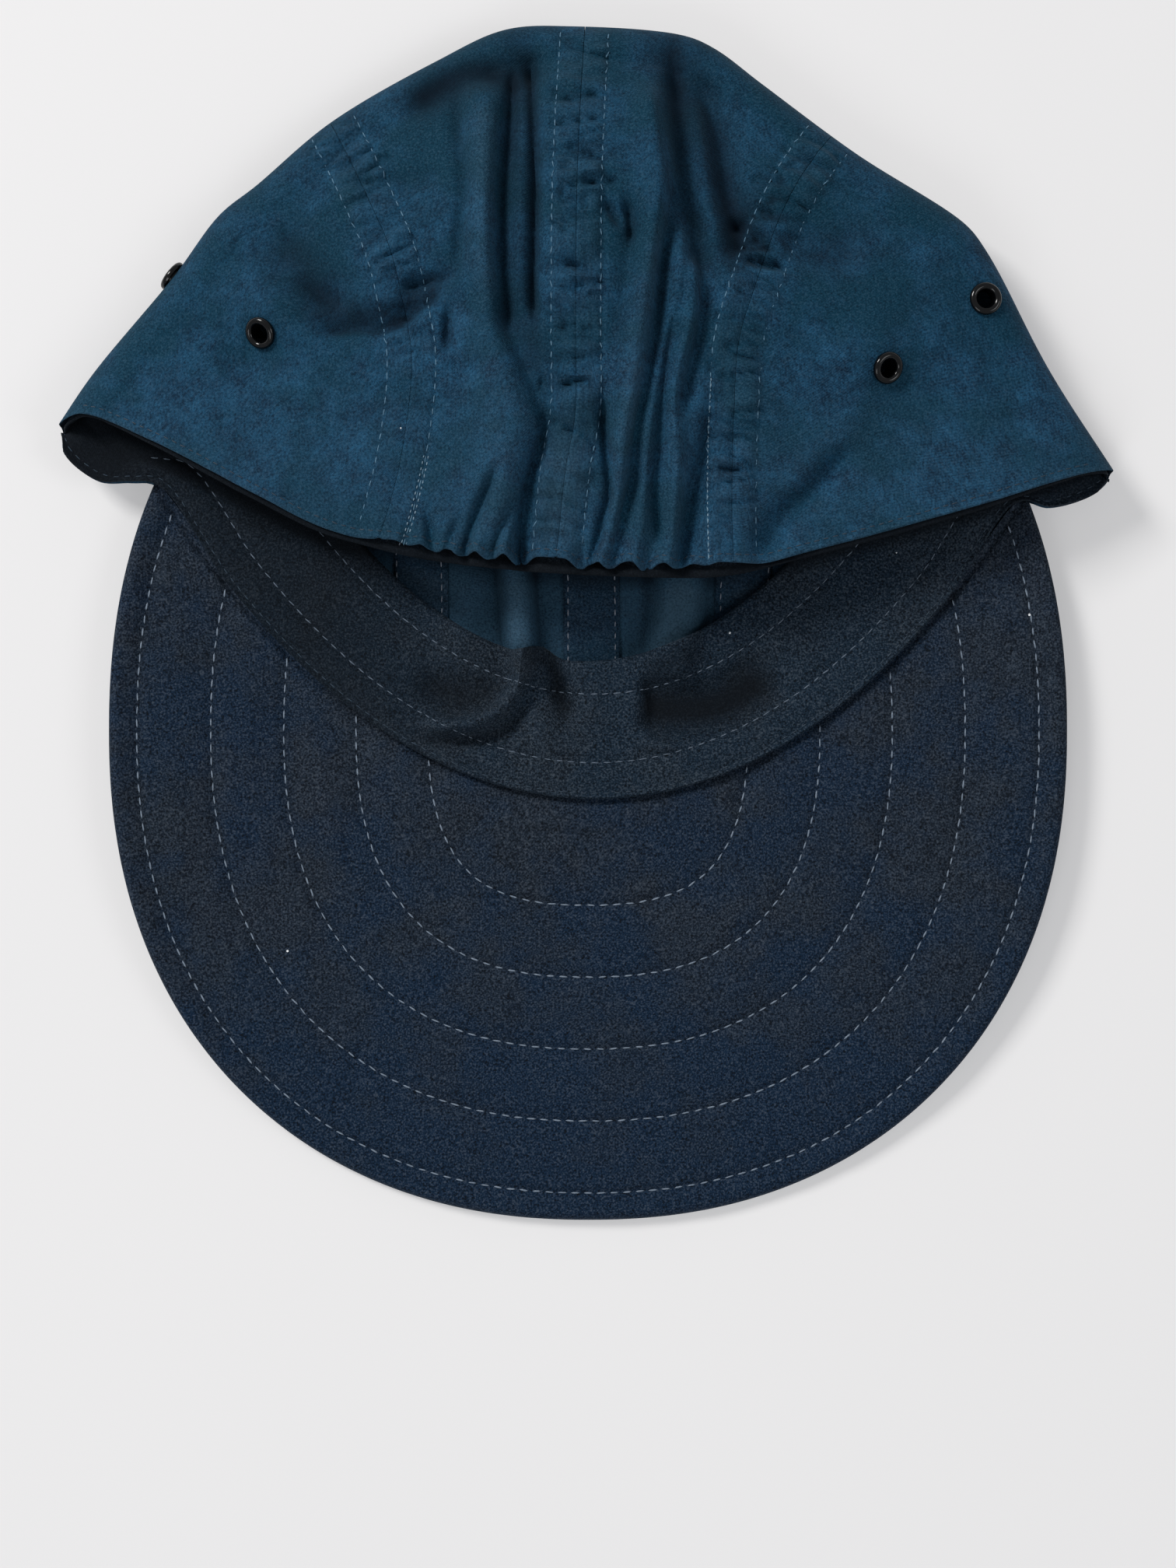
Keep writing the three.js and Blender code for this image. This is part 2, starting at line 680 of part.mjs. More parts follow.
function eyeletPlace(eyelet) {
  const step = 0.5;
  if (eyelet.onFold) {
    const share = nearest(outlineLine, eyelet.x, eyelet.y).along;
    const point = outline.getPointAt(share);
    point.z = FOLD_HEIGHT;
    const tangent = outline.getTangentAt(share);
    return { point, normal: new THREE.Vector3(-tangent.y, tangent.x, 0) };
  }
  const { x, y } = eyelet;
  const slopeX = (backHeight(x + step, y) - backHeight(x - step, y)) / (2 * step);
  const slopeY = (backHeight(x, y + step) - backHeight(x, y - step)) / (2 * step);
  return {
    point: new THREE.Vector3(x, y, backHeight(x, y)),
    normal: new THREE.Vector3(-slopeX, -slopeY, 1).normalize(),
  };
}

function placedAt(object, place) {
  object.position.copy(place.point);
  object.quaternion.setFromUnitVectors(new THREE.Vector3(0, 1, 0), place.normal);
  object.updateMatrixWorld(true);
  return object;
}

function eyeletHole(place) {
  const length = 2 * (EYELET_DEPTH + 2);
  const barrel = new THREE.CylinderGeometry(EYELET_BARREL + GAP, EYELET_BARREL + GAP, length, EYELET_SIDES);
  const hole = placedAt(new THREE.Mesh(barrel), place);
  const cut = barrel.clone().applyMatrix4(hole.matrixWorld).toNonIndexed();
  return solidOf(closedGeometry(cut.getAttribute("position").array));
}

// The cap

const cap = new THREE.Group();

for (const panel of PANELS) {
  let geometry = panelGeometry(panel);
  const holes = EYELETS.filter((eyelet) => eyelet.panel === panel.name).map((eyelet) => eyeletHole(eyeletPlace(eyelet)));
  if (holes.length > 0) {
    const pierced = holes.reduce((solid, hole) => solid.subtract(hole), solidOf(geometry));
    geometry = geometryOf(pierced);
  }
  cap.add(namedMesh(panel.name, geometry, CROWN_CLOTH_LOOK));
}

SEAMS.forEach((seam, i) => cap.add(namedMesh("seam_tape_" + seam.name, tapeGeometry(i - 1), CROWN_CLOTH_LOOK)));

cap.add(namedMesh("sweatband", sweatbandGeometry(), BAND_CLOTH_LOOK));

const topCover = coverGeometry(0, COVER_CLOTH, 0, 0, PEAK_RIM_PINCH);
const underCover = coverGeometry(COVER_CLOTH + GAP, 2 * COVER_CLOTH + GAP, PEAK_ALLOWANCE, PEAK_RIM_PINCH, 0);
cap.add(namedMesh("visor_top_cover", topCover, CROWN_CLOTH_LOOK));
cap.add(namedMesh("visor_under_cover", underCover, PEAK_CLOTH_LOOK));

for (const eyelet of EYELETS) {
  const mesh = namedMesh(eyelet.name, eyeletGeometry(), EYELET_LOOK);
  cap.add(placedAt(mesh, eyeletPlace(eyelet)));
}

// The origin is the middle of the cap's box, on the floor.
const box = new THREE.Box3().setFromObject(cap);
const middle = box.getCenter(new THREE.Vector3());
cap.position.set(-middle.x, -middle.y, -box.min.z);

export default cap;
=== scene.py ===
# %% [markdown]
# A soft four panel cap, lying on its front
#
# The cap is photographed from straight above. Its peak lies top side down, so we look at the underside of
# the peak, at the back of the crown above it, and through the opening between them at the sweatband.
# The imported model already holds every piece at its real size. This lesson gives each piece a finer cloth
# surface in the same place, with its folds, stitches and weave, and then lights and frames it.

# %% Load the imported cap
import math

import bmesh
import bpy
import numpy as np
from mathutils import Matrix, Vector


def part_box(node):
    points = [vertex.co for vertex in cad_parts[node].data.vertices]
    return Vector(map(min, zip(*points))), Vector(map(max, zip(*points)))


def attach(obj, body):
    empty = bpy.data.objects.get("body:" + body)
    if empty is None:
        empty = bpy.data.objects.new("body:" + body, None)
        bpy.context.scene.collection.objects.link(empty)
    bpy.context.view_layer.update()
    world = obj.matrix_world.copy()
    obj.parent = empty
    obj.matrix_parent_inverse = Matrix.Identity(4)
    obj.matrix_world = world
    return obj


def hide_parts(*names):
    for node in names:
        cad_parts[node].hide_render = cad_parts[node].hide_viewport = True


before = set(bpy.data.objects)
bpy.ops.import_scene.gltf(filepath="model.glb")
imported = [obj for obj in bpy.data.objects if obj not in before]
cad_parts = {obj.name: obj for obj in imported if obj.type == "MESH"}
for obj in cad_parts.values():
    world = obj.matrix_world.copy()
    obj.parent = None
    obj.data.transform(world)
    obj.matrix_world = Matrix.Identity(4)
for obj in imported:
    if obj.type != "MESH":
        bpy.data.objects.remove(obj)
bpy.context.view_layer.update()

# %% [markdown]
# Where things are
#
# A flat pattern is easiest to draw in millimetres on a plan, with X across the cap and Y from the tip of the
# peak to the top of the crown. One function turns plan millimetres into metres in the frame. Its zero comes
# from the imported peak, whose width and tip we know on the plan, so nothing has to be fitted by eye.

# %% Plan millimetres to the frame
MM = 0.001
PEAK_HALF_WIDTH = 104.2
PEAK_TIP_Y = -94.7

peak_low, peak_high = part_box("visor_top_cover")
PLAN_ZERO = np.array([(peak_low.x + peak_high.x) / 2, peak_low.y - PEAK_TIP_Y * MM, 0.0])
print("plan zero in the frame, mm:", np.round(PLAN_ZERO / MM, 2))


def in_frame(points):
    return np.asarray(points, float) * MM + PLAN_ZERO


def with_height(plan, height):
    return np.concatenate([plan, height[..., None]], -1)


# %% [markdown]
# Small helpers for curves and hills
#
# Cloth folds are soft hills and valleys. Three little functions draw them all: a mix of two values, a smooth
# step and a bell. A line is a smooth curve through a few given points, read by its share of length, and
# it can tell how far any point lies from it and on which side.

# %% Mixing, steps, bells and soft noise


def mix(a, b, share):
    return a + (b - a) * share


def smooth_step(start, end, value):
    share = np.clip((value - start) / (end - start), 0, 1)
    return share * share * (3 - 2 * share)


def bell(distance, half_width):
    return np.exp(-((distance / half_width) ** 2))


def unit(vectors):
    return vectors / np.maximum(np.linalg.norm(vectors, axis=-1, keepdims=True), 1e-9)


NOISE_CELLS = 64


def soft_noise(xy, size, seed):
    """Smooth random hills, about one size apart, between -1 and 1."""
    table = np.random.default_rng(seed).uniform(-1, 1, (NOISE_CELLS, NOISE_CELLS))
    turned = np.stack([xy[..., 0] * 0.8 + xy[..., 1] * 0.6, xy[..., 1] * 0.8 - xy[..., 0] * 0.6], -1)
    cell = np.floor(turned / size).astype(int)
    share = turned / size - cell
    share = share * share * (3 - 2 * share)
    x0, y0 = cell[..., 0] % NOISE_CELLS, cell[..., 1] % NOISE_CELLS
    x1, y1 = (x0 + 1) % NOISE_CELLS, (y0 + 1) % NOISE_CELLS
    low = mix(table[x0, y0], table[x1, y0], share[..., 0])
    high = mix(table[x0, y1], table[x1, y1], share[..., 0])
    return mix(low, high, share[..., 1])


def hills(xy, rise, size, seed):
    return rise * soft_noise(xy, size, seed)


# %% Smooth lines
STEPS_BETWEEN_KNOTS = 24
CHUNK = 20000


class Line:
    """A centripetal Catmull-Rom curve through a few plan points, read by its share of length from 0 to 1."""

    def __init__(self, knots, samples=160):
        knots = np.array(knots, float)
        ends = 2 * knots[[0, -1]] - knots[[1, -2]]
        padded = np.vstack([ends[:1], knots, ends[1:]])
        fine = [self.span(padded[i : i + 4]) for i in range(len(knots) - 1)]
        self.fine = np.vstack([*fine, knots[-1:]])
        steps = np.linalg.norm(np.diff(self.fine, axis=0), axis=1)
        self.lengths = np.concatenate([[0], np.cumsum(steps)])
        self.length = self.lengths[-1]
        self.points = self.at(np.linspace(0, 1, samples + 1))

    def span(self, four):
        before, start, end, after = four
        gaps = [max(np.linalg.norm(b - a), 1e-6) ** 0.5 for a, b in zip(four, four[1:])]
        leave = (start - before) / gaps[0] - (end - before) / (gaps[0] + gaps[1]) + (end - start) / gaps[1]
        arrive = (end - start) / gaps[1] - (after - start) / (gaps[1] + gaps[2]) + (after - end) / gaps[2]
        leave, arrive = leave * gaps[1], arrive * gaps[1]
        t = np.linspace(0, 1, STEPS_BETWEEN_KNOTS, endpoint=False)[:, None]
        cubic = 2 * start - 2 * end + leave + arrive
        square = 3 * end - 3 * start - 2 * leave - arrive
        return start + leave * t + square * t**2 + cubic * t**3

    def at(self, share):
        along = np.asarray(share) * self.length
        return np.stack([np.interp(along, self.lengths, self.fine[:, i]) for i in (0, 1)], -1)

    def tangent(self, share):
        return unit(self.at(np.clip(share + 0.002, 0, 1)) - self.at(np.clip(share - 0.002, 0, 1)))

    def beside(self, share, offset):
        """Points at a distance from the line, to its left."""
        tangent = self.tangent(share)
        return self.at(share) + offset * np.stack([-tangent[:, 1], tangent[:, 0]], -1)

    def nearest(self, xy):
        """Each point's distance to the line, its share of the line, and its side, +1 on the left."""
        starts, steps = self.points[:-1], np.diff(self.points, axis=0)
        squares = (steps**2).sum(1)
        flat = xy.reshape(-1, 2)
        found = np.empty((len(flat), 3))
        for first in range(0, len(flat), CHUNK):
            offset = flat[first : first + CHUNK, None] - starts
            share = np.clip((offset * steps).sum(2) / squares, 0, 1)
            distance = np.linalg.norm(offset - share[..., None] * steps, axis=2)
            best = distance.argmin(1)
            rows = np.arange(len(best))
            side = steps[best, 0] * offset[rows, best, 1] - steps[best, 1] * offset[rows, best, 0]
            along = (best + share[rows, best]) / len(steps)
            found[first : first + CHUNK] = np.stack([distance[rows, best], along, np.sign(side)], -1)
        return np.moveaxis(found.reshape(*xy.shape[:-1], 3), -1, 0)


# %% [markdown]
# The plan of the lying crown
#
# A cap's crown is a shell of four panels. Lying down it is a flattened bag: a front sheet on the floor and a
# back sheet above it, which meet along a round fold. So the plan needs the fold's outline, the two hems, and
# the three seams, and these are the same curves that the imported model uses.

# %% Outline, hems and seams
OUTLINE = Line([
    (-113.5, 77), (-106, 88), (-88.8, 108.7), (-79, 121.9), (-71.1, 128.2), (-55.3, 141.6), (-32.4, 154.9),
    (-17.7, 161.6), (-2.7, 162.3), (20.7, 160.3), (27.4, 157.4), (37.4, 149.9), (57.4, 135.1), (80.8, 120),
    (84.9, 114.9), (99.2, 88.1), (112.7, 67.1),
])
BACK_HEM = Line([
    (-113.5, 77), (-107.9, 78.9), (-92, 72.7), (-69.8, 61.1), (-53.6, 53.3), (-27.3, 48.2), (1.8, 45.6),
    (30.9, 45.7), (50.2, 50), (82.8, 59.1), (105, 66), (112.7, 67.1),
])
ARC_LOW, ARC_DEPTH, ARC_HALF, ARC_END, ARC_TILT = -3.7, 351, 160, 93.5, -0.02
ARC_KNOTS = 12
SEAM_GAP = 0.3


def arc_y(x):
    """The shallow arc in which the peak is sewn to the crown."""
    return ARC_LOW + ARC_TILT * x + ARC_DEPTH * (1 - np.sqrt(1 - (x / ARC_HALF) ** 2))


arc_knots = [(x, arc_y(x) + SEAM_GAP) for x in np.linspace(-ARC_END, ARC_END, ARC_KNOTS + 1)]
FRONT_HEM = Line([
    (-113.5, 77), (-112.5, 71.2), (-105.4, 65.4), (-98.5, 65.2), *arc_knots,
    (99.5, 59.8), (107.4, 61.8), (112, 65), (112.7, 67.1),
])

SEAMS = [
    {"name": "left", "fold": (-55.3, 141.6),
     "back": [(-50.4, 131.9), (-45.5, 121.4), (-41.3, 111.5), (-38.3, 98.9), (-36.6, 88), (-38.5, 70.2),
              (-43.7, 50.6)],
     "front": [(-40, 95), (-36.5, 44.4), (-37.3, 5.9)]},
    {"name": "centre", "fold": (-0.6, 162.2),
     "back": [(-1.7, 140), (-2.3, 122.5), (-2.5, 95), (-2.6, 77), (-4.6, 66), (-6.6, 47.4)],
     "front": [(0.6, 90), (0.7, 44.4), (1, -3.7)]},
    {"name": "right", "fold": (52.4, 138.8),
     "back": [(45.8, 129.5), (40.5, 119.6), (34.9, 104.3), (31.2, 92), (30.2, 78), (29.9, 60), (30.3, 46.2)],
     "front": [(40, 90), (34, 43.8), (36, 4.2)]},
]
for seam in SEAMS:
    for sheet in ("back", "front"):
        seam[sheet] = Line([seam["fold"], *seam[sheet]])
print("hems, mm:", round(BACK_HEM.length), "and", round(FRONT_HEM.length), "so the head opening is",
      round(BACK_HEM.length + FRONT_HEM.length), "round")

# %% [markdown]
# How the slack cloth stands
#
# With nobody's head in it the crown sags, and its folds are what the eye reads first. A simulation could make
# folds, but they would be its own, not these. So each fold is one row of a short table: how far it stands up
# or sinks, its width on either side, how sharp it is, and two to nine points that it passes. A crease is a
# valley with one steep side. All rows are added on top of a smooth base, and each fold also paints shade
# into a crease and light onto a ridge. A second kind of table has rows that only paint shade or light into
# the cloth: darker where broad dips lie in their own shade, and paler where a stretch of cloth is lit.

# %% Base height of the back sheet and the front sheet
FOLD_HEIGHT = 9
SHOULDER_HEIGHT = 18
SIDE_RISE, CENTRE_RISE, RISE_HALF_WIDTH, RISE_REACH = 8, 10, 45, 22
HEM_DROP, HEM_REACH, HEM_HALF_WIDTH = 9, 22, 60
SIDE_LIFT, LIFT_START, LIFT_REACH, LIFT_EDGE = 6, 40, 45, 5


def side_lift(x):
    """How far the peak's sides curl up from the floor."""
    reach = np.maximum(0, np.abs(x) - LIFT_START) / (PEAK_HALF_WIDTH - LIFT_START)
    return SIDE_LIFT * reach**2


def shoulder(edge):
    """The round fold: 0 on the outline, and 1 a fold radius inside it."""
    share = np.minimum(1, edge / FOLD_HEIGHT)
    return np.sqrt(np.maximum(0, 1 - (1 - share) ** 2))


def back_base(xy, edge, hem):
    x = xy[..., 0]
    rise = SIDE_RISE + CENTRE_RISE * bell(x, RISE_HALF_WIDTH)
    inside = 1 - np.exp(-np.maximum(0, edge - FOLD_HEIGHT) / RISE_REACH)
    sag = HEM_DROP * bell(hem, HEM_REACH) * bell(x, HEM_HALF_WIDTH)
    return SHOULDER_HEIGHT + rise * inside - sag


# %% Folds of the back sheet, of the front sheet and of the sweatband
FOLD_COLUMNS = ("name", "rise", "left", "right", "sharpness", "path")
BACK_FOLDS = [
    ("long crease", -5, 1.5, 2.6, 1.5,
     [(-15.6, 154), (-16.9, 137.6), (-18, 122), (-17.8, 107), (-16.2, 91)]),
    ("crease beside the tape", -4.4, 1.8, 1.3, 1.5,
     [(-12.3, 157), (-11.3, 139), (-10.9, 123.5), (-11.2, 104), (-10.9, 92)]),
    ("outer left crease", -2.3, 2, 1.5, 1.7,
     [(-28, 149), (-26.7, 133), (-25.7, 125), (-26.6, 113), (-27.5, 103)]),
    ("ridge left of the long crease", 3, 5, 3.2, 2,
     [(-22.3, 154), (-22, 138), (-22, 122), (-21.9, 107), (-21.5, 97)]),
    ("soft valley at the top left", -4.2, 4, 4, 2, [(-41, 142), (-29.8, 149.4), (-24.8, 151), (-14, 147)]),
    ("dip at the top left", -3.6, 4, 4, 2, [(-19, 163), (-13.3, 154.6), (-9.6, 146)]),
    ("right edge of the puff", -2.5, 2, 5, 1.8,
     [(-19.6, 102), (-16.7, 94.5), (-14.6, 90), (-12.2, 84.5), (-10.2, 79), (-8.4, 72)]),
    ("crease down to the hem", -4.4, 1.3, 2.4, 1.5,
     [(-9.1, 80), (-9.1, 73.4), (-11.6, 66), (-13.6, 57), (-14.4, 40)]),
    ("puff beside the left seam", 3, 8, 5, 2,
     [(-23.1, 102), (-18.9, 86), (-16.7, 75), (-18.4, 62.6), (-20, 40)]),
    ("dip across the puff", -0.9, 2.2, 2.2, 2, [(-31.5, 87.5), (-25.9, 85.5), (-19.5, 86.3)]),
    ("pit beside the left seam", -3, 1.4, 1.2, 1.6, [(-29, 101), (-29, 95), (-29.4, 88)]),
    ("crease over the left seam", -4, 1.5, 4.8, 1.5,
     [(-59, 94.5), (-47.6, 95.3), (-42.7, 94.8), (-36.2, 98), (-28.6, 104.5)]),
    ("shorter one above it", -3, 1.2, 2, 1.5, [(-40, 101), (-33, 104.7), (-30.3, 105), (-25.5, 107)]),
    ("soft crease at the left", -2, 2, 2.4, 1.8, [(-62, 108), (-56, 102.7), (-48.5, 99)]),
    ("broad dip by the left seam", -1.2, 3, 3, 2, [(-43, 125), (-36.8, 126.3), (-29, 126.6)]),
    ("hem fold left 1", -3, 1.1, 1.3, 1.5,
     [(-17.8, 68), (-21.2, 60.8), (-23.2, 56.4), (-24.7, 52.4), (-27.6, 40)]),
    ("hem fold left 2", -2.7, 1.1, 1.3, 1.5, [(-14.2, 60.5), (-17.2, 55), (-18.6, 52), (-21.5, 40)]),
    ("hem fold left 3", -1.8, 1.1, 1.2, 1.5, [(-25.6, 58), (-28.7, 51.6), (-31, 40)]),
    ("hem fold left 4", -1.8, 1.1, 1.2, 1.5, [(-34.8, 61), (-33.3, 53.3), (-33, 40)]),
    ("crease right of the tape", -3.8, 1.5, 1, 1.5,
     [(2.6, 83), (3.4, 74), (3.9, 68.7), (4.4, 60), (3.2, 55.4), (2.3, 51.5), (-1, 40)]),
    ("dent right of the tape", -3, 1.2, 1.2, 1.5, [(2.4, 122), (5.1, 118.1), (7.6, 114)]),
    ("its right half", -4, 1.5, 1.4, 1.6, [(7.2, 122.6), (9, 116), (8.7, 110)]),
    ("its tail", -1.7, 2.2, 1.2, 1.6, [(9.2, 117), (8.5, 107.8), (6.7, 96.4), (5, 87)]),
    ("ridge right of centre", 3.4, 4, 2.4, 2,
     [(12.4, 149), (14.1, 134), (14.7, 123.7), (12.2, 105), (9.9, 89), (9, 81), (6.6, 62.5), (6, 56),
      (3, 40)]),
    ("right long crease", -3.4, 1.2, 2.2, 1.5,
     [(18.8, 128), (16.9, 118.8), (15.4, 108), (13.9, 92.5), (12, 83), (9.6, 72.6), (8.9, 62.5),
      (7.7, 58.6), (3.6, 40)]),
    ("ridge beyond it", 2, 2.2, 1.8, 2,
     [(19.6, 117), (18.6, 105.7), (17.3, 97.5), (13.8, 83), (11.9, 67), (9.8, 40)]),
    ("valley beyond that", -2.3, 1.2, 1.6, 1.5,
     [(18.6, 100), (16.8, 91), (15.5, 81.4), (14, 67.2), (13.7, 61), (15.2, 47)]),
    ("sharp ridge", 2.5, 2.2, 1.6, 2,
     [(22.1, 112), (22, 101), (20.9, 94), (18.3, 84.6), (17.6, 78), (18.3, 68.8), (18.1, 59), (16.8, 40)]),
    ("its shaded side", -2.5, 1.1, 2.4, 1.5,
     [(22.9, 113), (23.6, 100), (22.8, 93.6), (20.5, 84.3), (18.1, 74)]),
    ("valley at the top right", -4.8, 2.6, 3.2, 1.8,
     [(18.3, 166), (18.4, 150.8), (18.7, 136), (21, 121.6), (22.4, 115.8), (23.4, 104)]),
    ("left of its wedge", -3, 3, 3, 2, [(9.5, 165), (17.4, 151)]),
    ("right of its wedge", -3, 3, 3, 2, [(29, 163), (20, 150)]),
    ("broad valley before the right seam", -5.6, 4.4, 4.4, 1.8,
     [(21.5, 154), (27.1, 136.7), (29.5, 123), (31.4, 116), (33, 105)]),
    ("low ridge between them", 1.3, 2.5, 2.5, 2, [(21.5, 154), (24, 138), (25.7, 119), (26.6, 109)]),
    ("shade right of the right seam", -2.6, 5, 7, 2, [(38, 116), (48, 112), (60, 110.5)]),
    ("wedge before the right seam", -3.4, 1.4, 2.2, 1.5,
     [(25.6, 80.5), (24.1, 71.3), (21.9, 62.3), (21, 58), (20.4, 53), (19.4, 40)]),
    ("lower right fold", -3, 3.4, 2.8, 1.7, [(56, 73), (47, 62.3), (42, 57.4), (34, 45)]),
    ("lower right ridge", 1.8, 3.6, 3.6, 2, [(58, 77), (45.3, 65), (38, 57.5)]),
    ("upper left dent", -2.6, 7, 6, 2, [(-66, 121), (-60, 108), (-51, 97)]),
]
# Painted shade where a row sinks and painted light where it rises; these rows leave the shape alone
BACK_SHADES = [
    ("dip at the top left", -4.2, 5.5, 5.5, 2, [(-42, 141.5), (-28, 147.5), (-19, 150.5), (-10, 149)]),
    ("between the two left creases", -3.2, 3, 3.4, 3, [(-13.8, 154), (-13.8, 125), (-13.4, 95)]),
    ("pale cloth left of the creases", 3.6, 3.4, 3.4, 2, [(-21.6, 146), (-21, 122), (-20.4, 96)]),
    ("foot of the two creases", -2.8, 4, 4, 2, [(-13, 99), (-11, 91), (-9.4, 82)]),
    ("dip at the top right", -3.1, 5.5, 5.5, 2.4,
     [(14, 160), (18.5, 148), (24, 133), (29, 118), (29, 104)]),
    ("puckered strip at the right", -3.2, 6, 6, 2, [(42, 131), (36.5, 118), (36, 106)]),
    ("across the left seam", -3.2, 4, 5, 2, [(-62, 97), (-44, 99), (-25, 104)]),
    ("beside the puckered strip", -1.7, 8, 8, 2, [(46, 114), (54, 112), (64, 110)]),
    ("below the upper left dent", -2, 7, 7, 2, [(-66, 118), (-58, 106), (-50, 99)]),
    ("pale foot of the tape", 3, 5, 5, 2, [(-4, 76), (-5.6, 62), (-6.4, 44)]),
    ("pale ridge right of the centre", 2.8, 2.6, 2.6, 2, [(15.4, 118), (12.6, 100), (10, 82), (7.4, 66)]),
]
# Painted shade and painted light on the front sheet, in the same way
FRONT_SHADES = [
    ("left side of the left ridge", -3, 1.3, 1.1, 2, [(-20.6, 60), (-19.6, 45), (-18.7, 30), (-18, 22)]),
    ("right side of the left ridge", -3.4, 1.1, 1.6, 2, [(-12.6, 60), (-12, 45), (-11.2, 30), (-10.2, 20)]),
    ("pale top of the left ridge", 4, 2, 2, 4, [(-16.4, 60), (-15.9, 46), (-14.9, 34), (-14, 24)]),
    ("pale top of the right ridge", 8, 4.6, 4.6, 4, [(20.4, 60), (20, 45), (18.4, 31), (17, 20)]),
    ("left side of the right ridge", -2.2, 1.6, 1.2, 2, [(14, 60), (13.6, 45), (12.6, 30), (12, 20)]),
    ("right side of the right ridge", -1.8, 1.2, 2, 2, [(27, 60), (26.2, 45), (24.2, 31), (22, 22)]),
    ("pale cloth at the left end", 3.4, 7, 7, 2, [(-50, 56), (-38, 47), (-27, 38)]),
    ("pale cloth at the right end", 4, 6, 6, 2, [(30, 36), (38, 45), (48, 55)]),
]
FRONT_FOLDS = [
    ("left ridge inside", 5.5, 2.9, 2.9, 4,
     [(-17, 66), (-15.9, 48.2), (-14.9, 36.5), (-14, 28.1), (-13.4, 21.4)]),
    ("right ridge inside", 5, 5.4, 5.2, 4,
     [(21, 66), (20, 44.8), (18.6, 32.3), (17.4, 24.8), (15.7, 18.1)]),
    ("slack beside the left tape", 1.6, 4, 4, 2, [(-27, 62), (-27, 36), (-28, 22)]),
]
BAND_FOLDS = [
    ("hump", 5, 1.8, 2.2, 2.6,
     [(-13.9, 40), (-14.3, 29.3), (-14.8, 23), (-17.4, 18), (-22, 14.4), (-29, 12.8), (-38, 13.6)]),
    ("foot of the hump", 1.6, 3, 4, 2, [(-13, 19), (-10.7, 10.5), (-7, 2)]),
    ("left pocket", -1.9, 4.6, 4.2, 3, [(-40, 23), (-32, 20.5), (-26, 19.5), (-21, 21.5), (-19.5, 27)]),
    ("hollow below its rim", -1.6, 1.4, 1.4, 1.8,
     [(-38, 9.8), (-29, 9.2), (-21, 10.4), (-15.5, 14), (-12.2, 20)]),
    ("shaded side of the hump", -2.8, 2, 2.4, 2.4, [(-8.6, 34), (-7.6, 27), (-6, 19), (-3.4, 10)]),
    ("slack in the middle", 1, 5, 5, 2, [(3, 26), (3, 18), (3, 8)]),
    ("faint dip in the middle", -0.9, 2, 2, 2, [(9, 21), (6.8, 13), (5.4, 4)]),
    ("sharp rim of the right hollow", 1.6, 1.5, 1, 2,
     [(10.6, 29), (10.7, 18), (11.4, 12), (15, 8.4), (24, 8.6)]),
    ("right hollow", -3.5, 6, 6.8, 4, [(0, 18), (12, 17), (20, 16.2), (28, 17), (35, 20.6), (42, 26)]),
    ("shade above it", -1.4, 2.6, 2.8, 2, [(8, 25), (17, 26), (28, 28.5)]),
]
FADE = 8  # millimetres in which a fold dies out at either end
LONGEST_FADE = 0.38  # of its length
CULL = 3.2  # half widths, past which a fold is not felt
DEEP, HIGH = 4.5, 6  # of a fold that takes the whole tone
TONE_WIDTH = 0.8  # of the fold's own width


def as_folds(rows):
    folds = [dict(zip(FOLD_COLUMNS, row)) for row in rows]
    for fold in folds:
        fold["line"] = Line(fold["path"], 30)
    return folds


def relief(folds, xy):
    """Fold height at each point, and tone: 1 is painted shade in a crease, -1 painted light on a ridge."""
    flat = xy.reshape(-1, 2)
    height, tone = np.zeros(len(flat)), np.zeros(len(flat))
    for fold in folds:
        line = fold["line"]
        reach = CULL * max(fold["left"], fold["right"])
        near = ((flat > line.points.min(0) - reach) & (flat < line.points.max(0) + reach)).all(1)
        distance, along, side = line.nearest(flat[near])
        # a path runs down the plan or to the right, so its left-hand side is right in the picture, or above
        width = np.where(side > 0, fold["right"], fold["left"])
        fade = min(LONGEST_FADE, FADE / line.length)
        run = smooth_step(0, fade, along) * smooth_step(0, fade, 1 - along)
        height[near] += fold["rise"] * np.exp(-((distance / width) ** fold["sharpness"])) * run
        depth = -fold["rise"] / (DEEP if fold["rise"] < 0 else HIGH)
        tone[near] += bell(distance, width * TONE_WIDTH) * run * np.clip(depth, -1, 1)
    return height.reshape(xy.shape[:-1]), np.clip(tone, -1, 1).reshape(xy.shape[:-1])


back_folds, front_folds, band_folds = as_folds(BACK_FOLDS), as_folds(FRONT_FOLDS), as_folds(BAND_FOLDS)
back_shades, front_shades = as_folds(BACK_SHADES), as_folds(FRONT_SHADES)
print(len(back_folds), "folds on the back sheet,", len(front_folds), "on the front and",
      len(band_folds), "on the band")

# %% [markdown]
# What the needle does to cloth
#
# Each seam is pressed open over a tape and stitched down on both sides. Between its two rows the cloth is
# thicker and stands up a little, each row pulls a narrow groove, and because the thread is shorter than the
# cloth, the strip puckers in short cross tucks. At the back hem an elastic draws the cloth into ruffles.

# %% Tapes, puckers, tucks and ruffles
ROW_OFFSET = 5.1
ROW_GROOVE, ROW_GROOVE_WIDTH = 0.4, 0.8
TAPE_STAND = 0.4
SEAM_GROOVE, SEAM_GROOVE_WIDTH = 0.3, 0.5
PUCKER_LENGTH, FINE_PUCKER_LENGTH = 2.9, 1.6
PUCKER_TONE, CREASE_SHARE = 0.7, 0.12
# Along each seam the puckers are deep between two heights on the plan: from, to, and how deep
PUCKER_SPANS = {"left": (92, 136, 1.1), "centre": (56, 156, 1.15), "right": (60, 134, 1.3)}
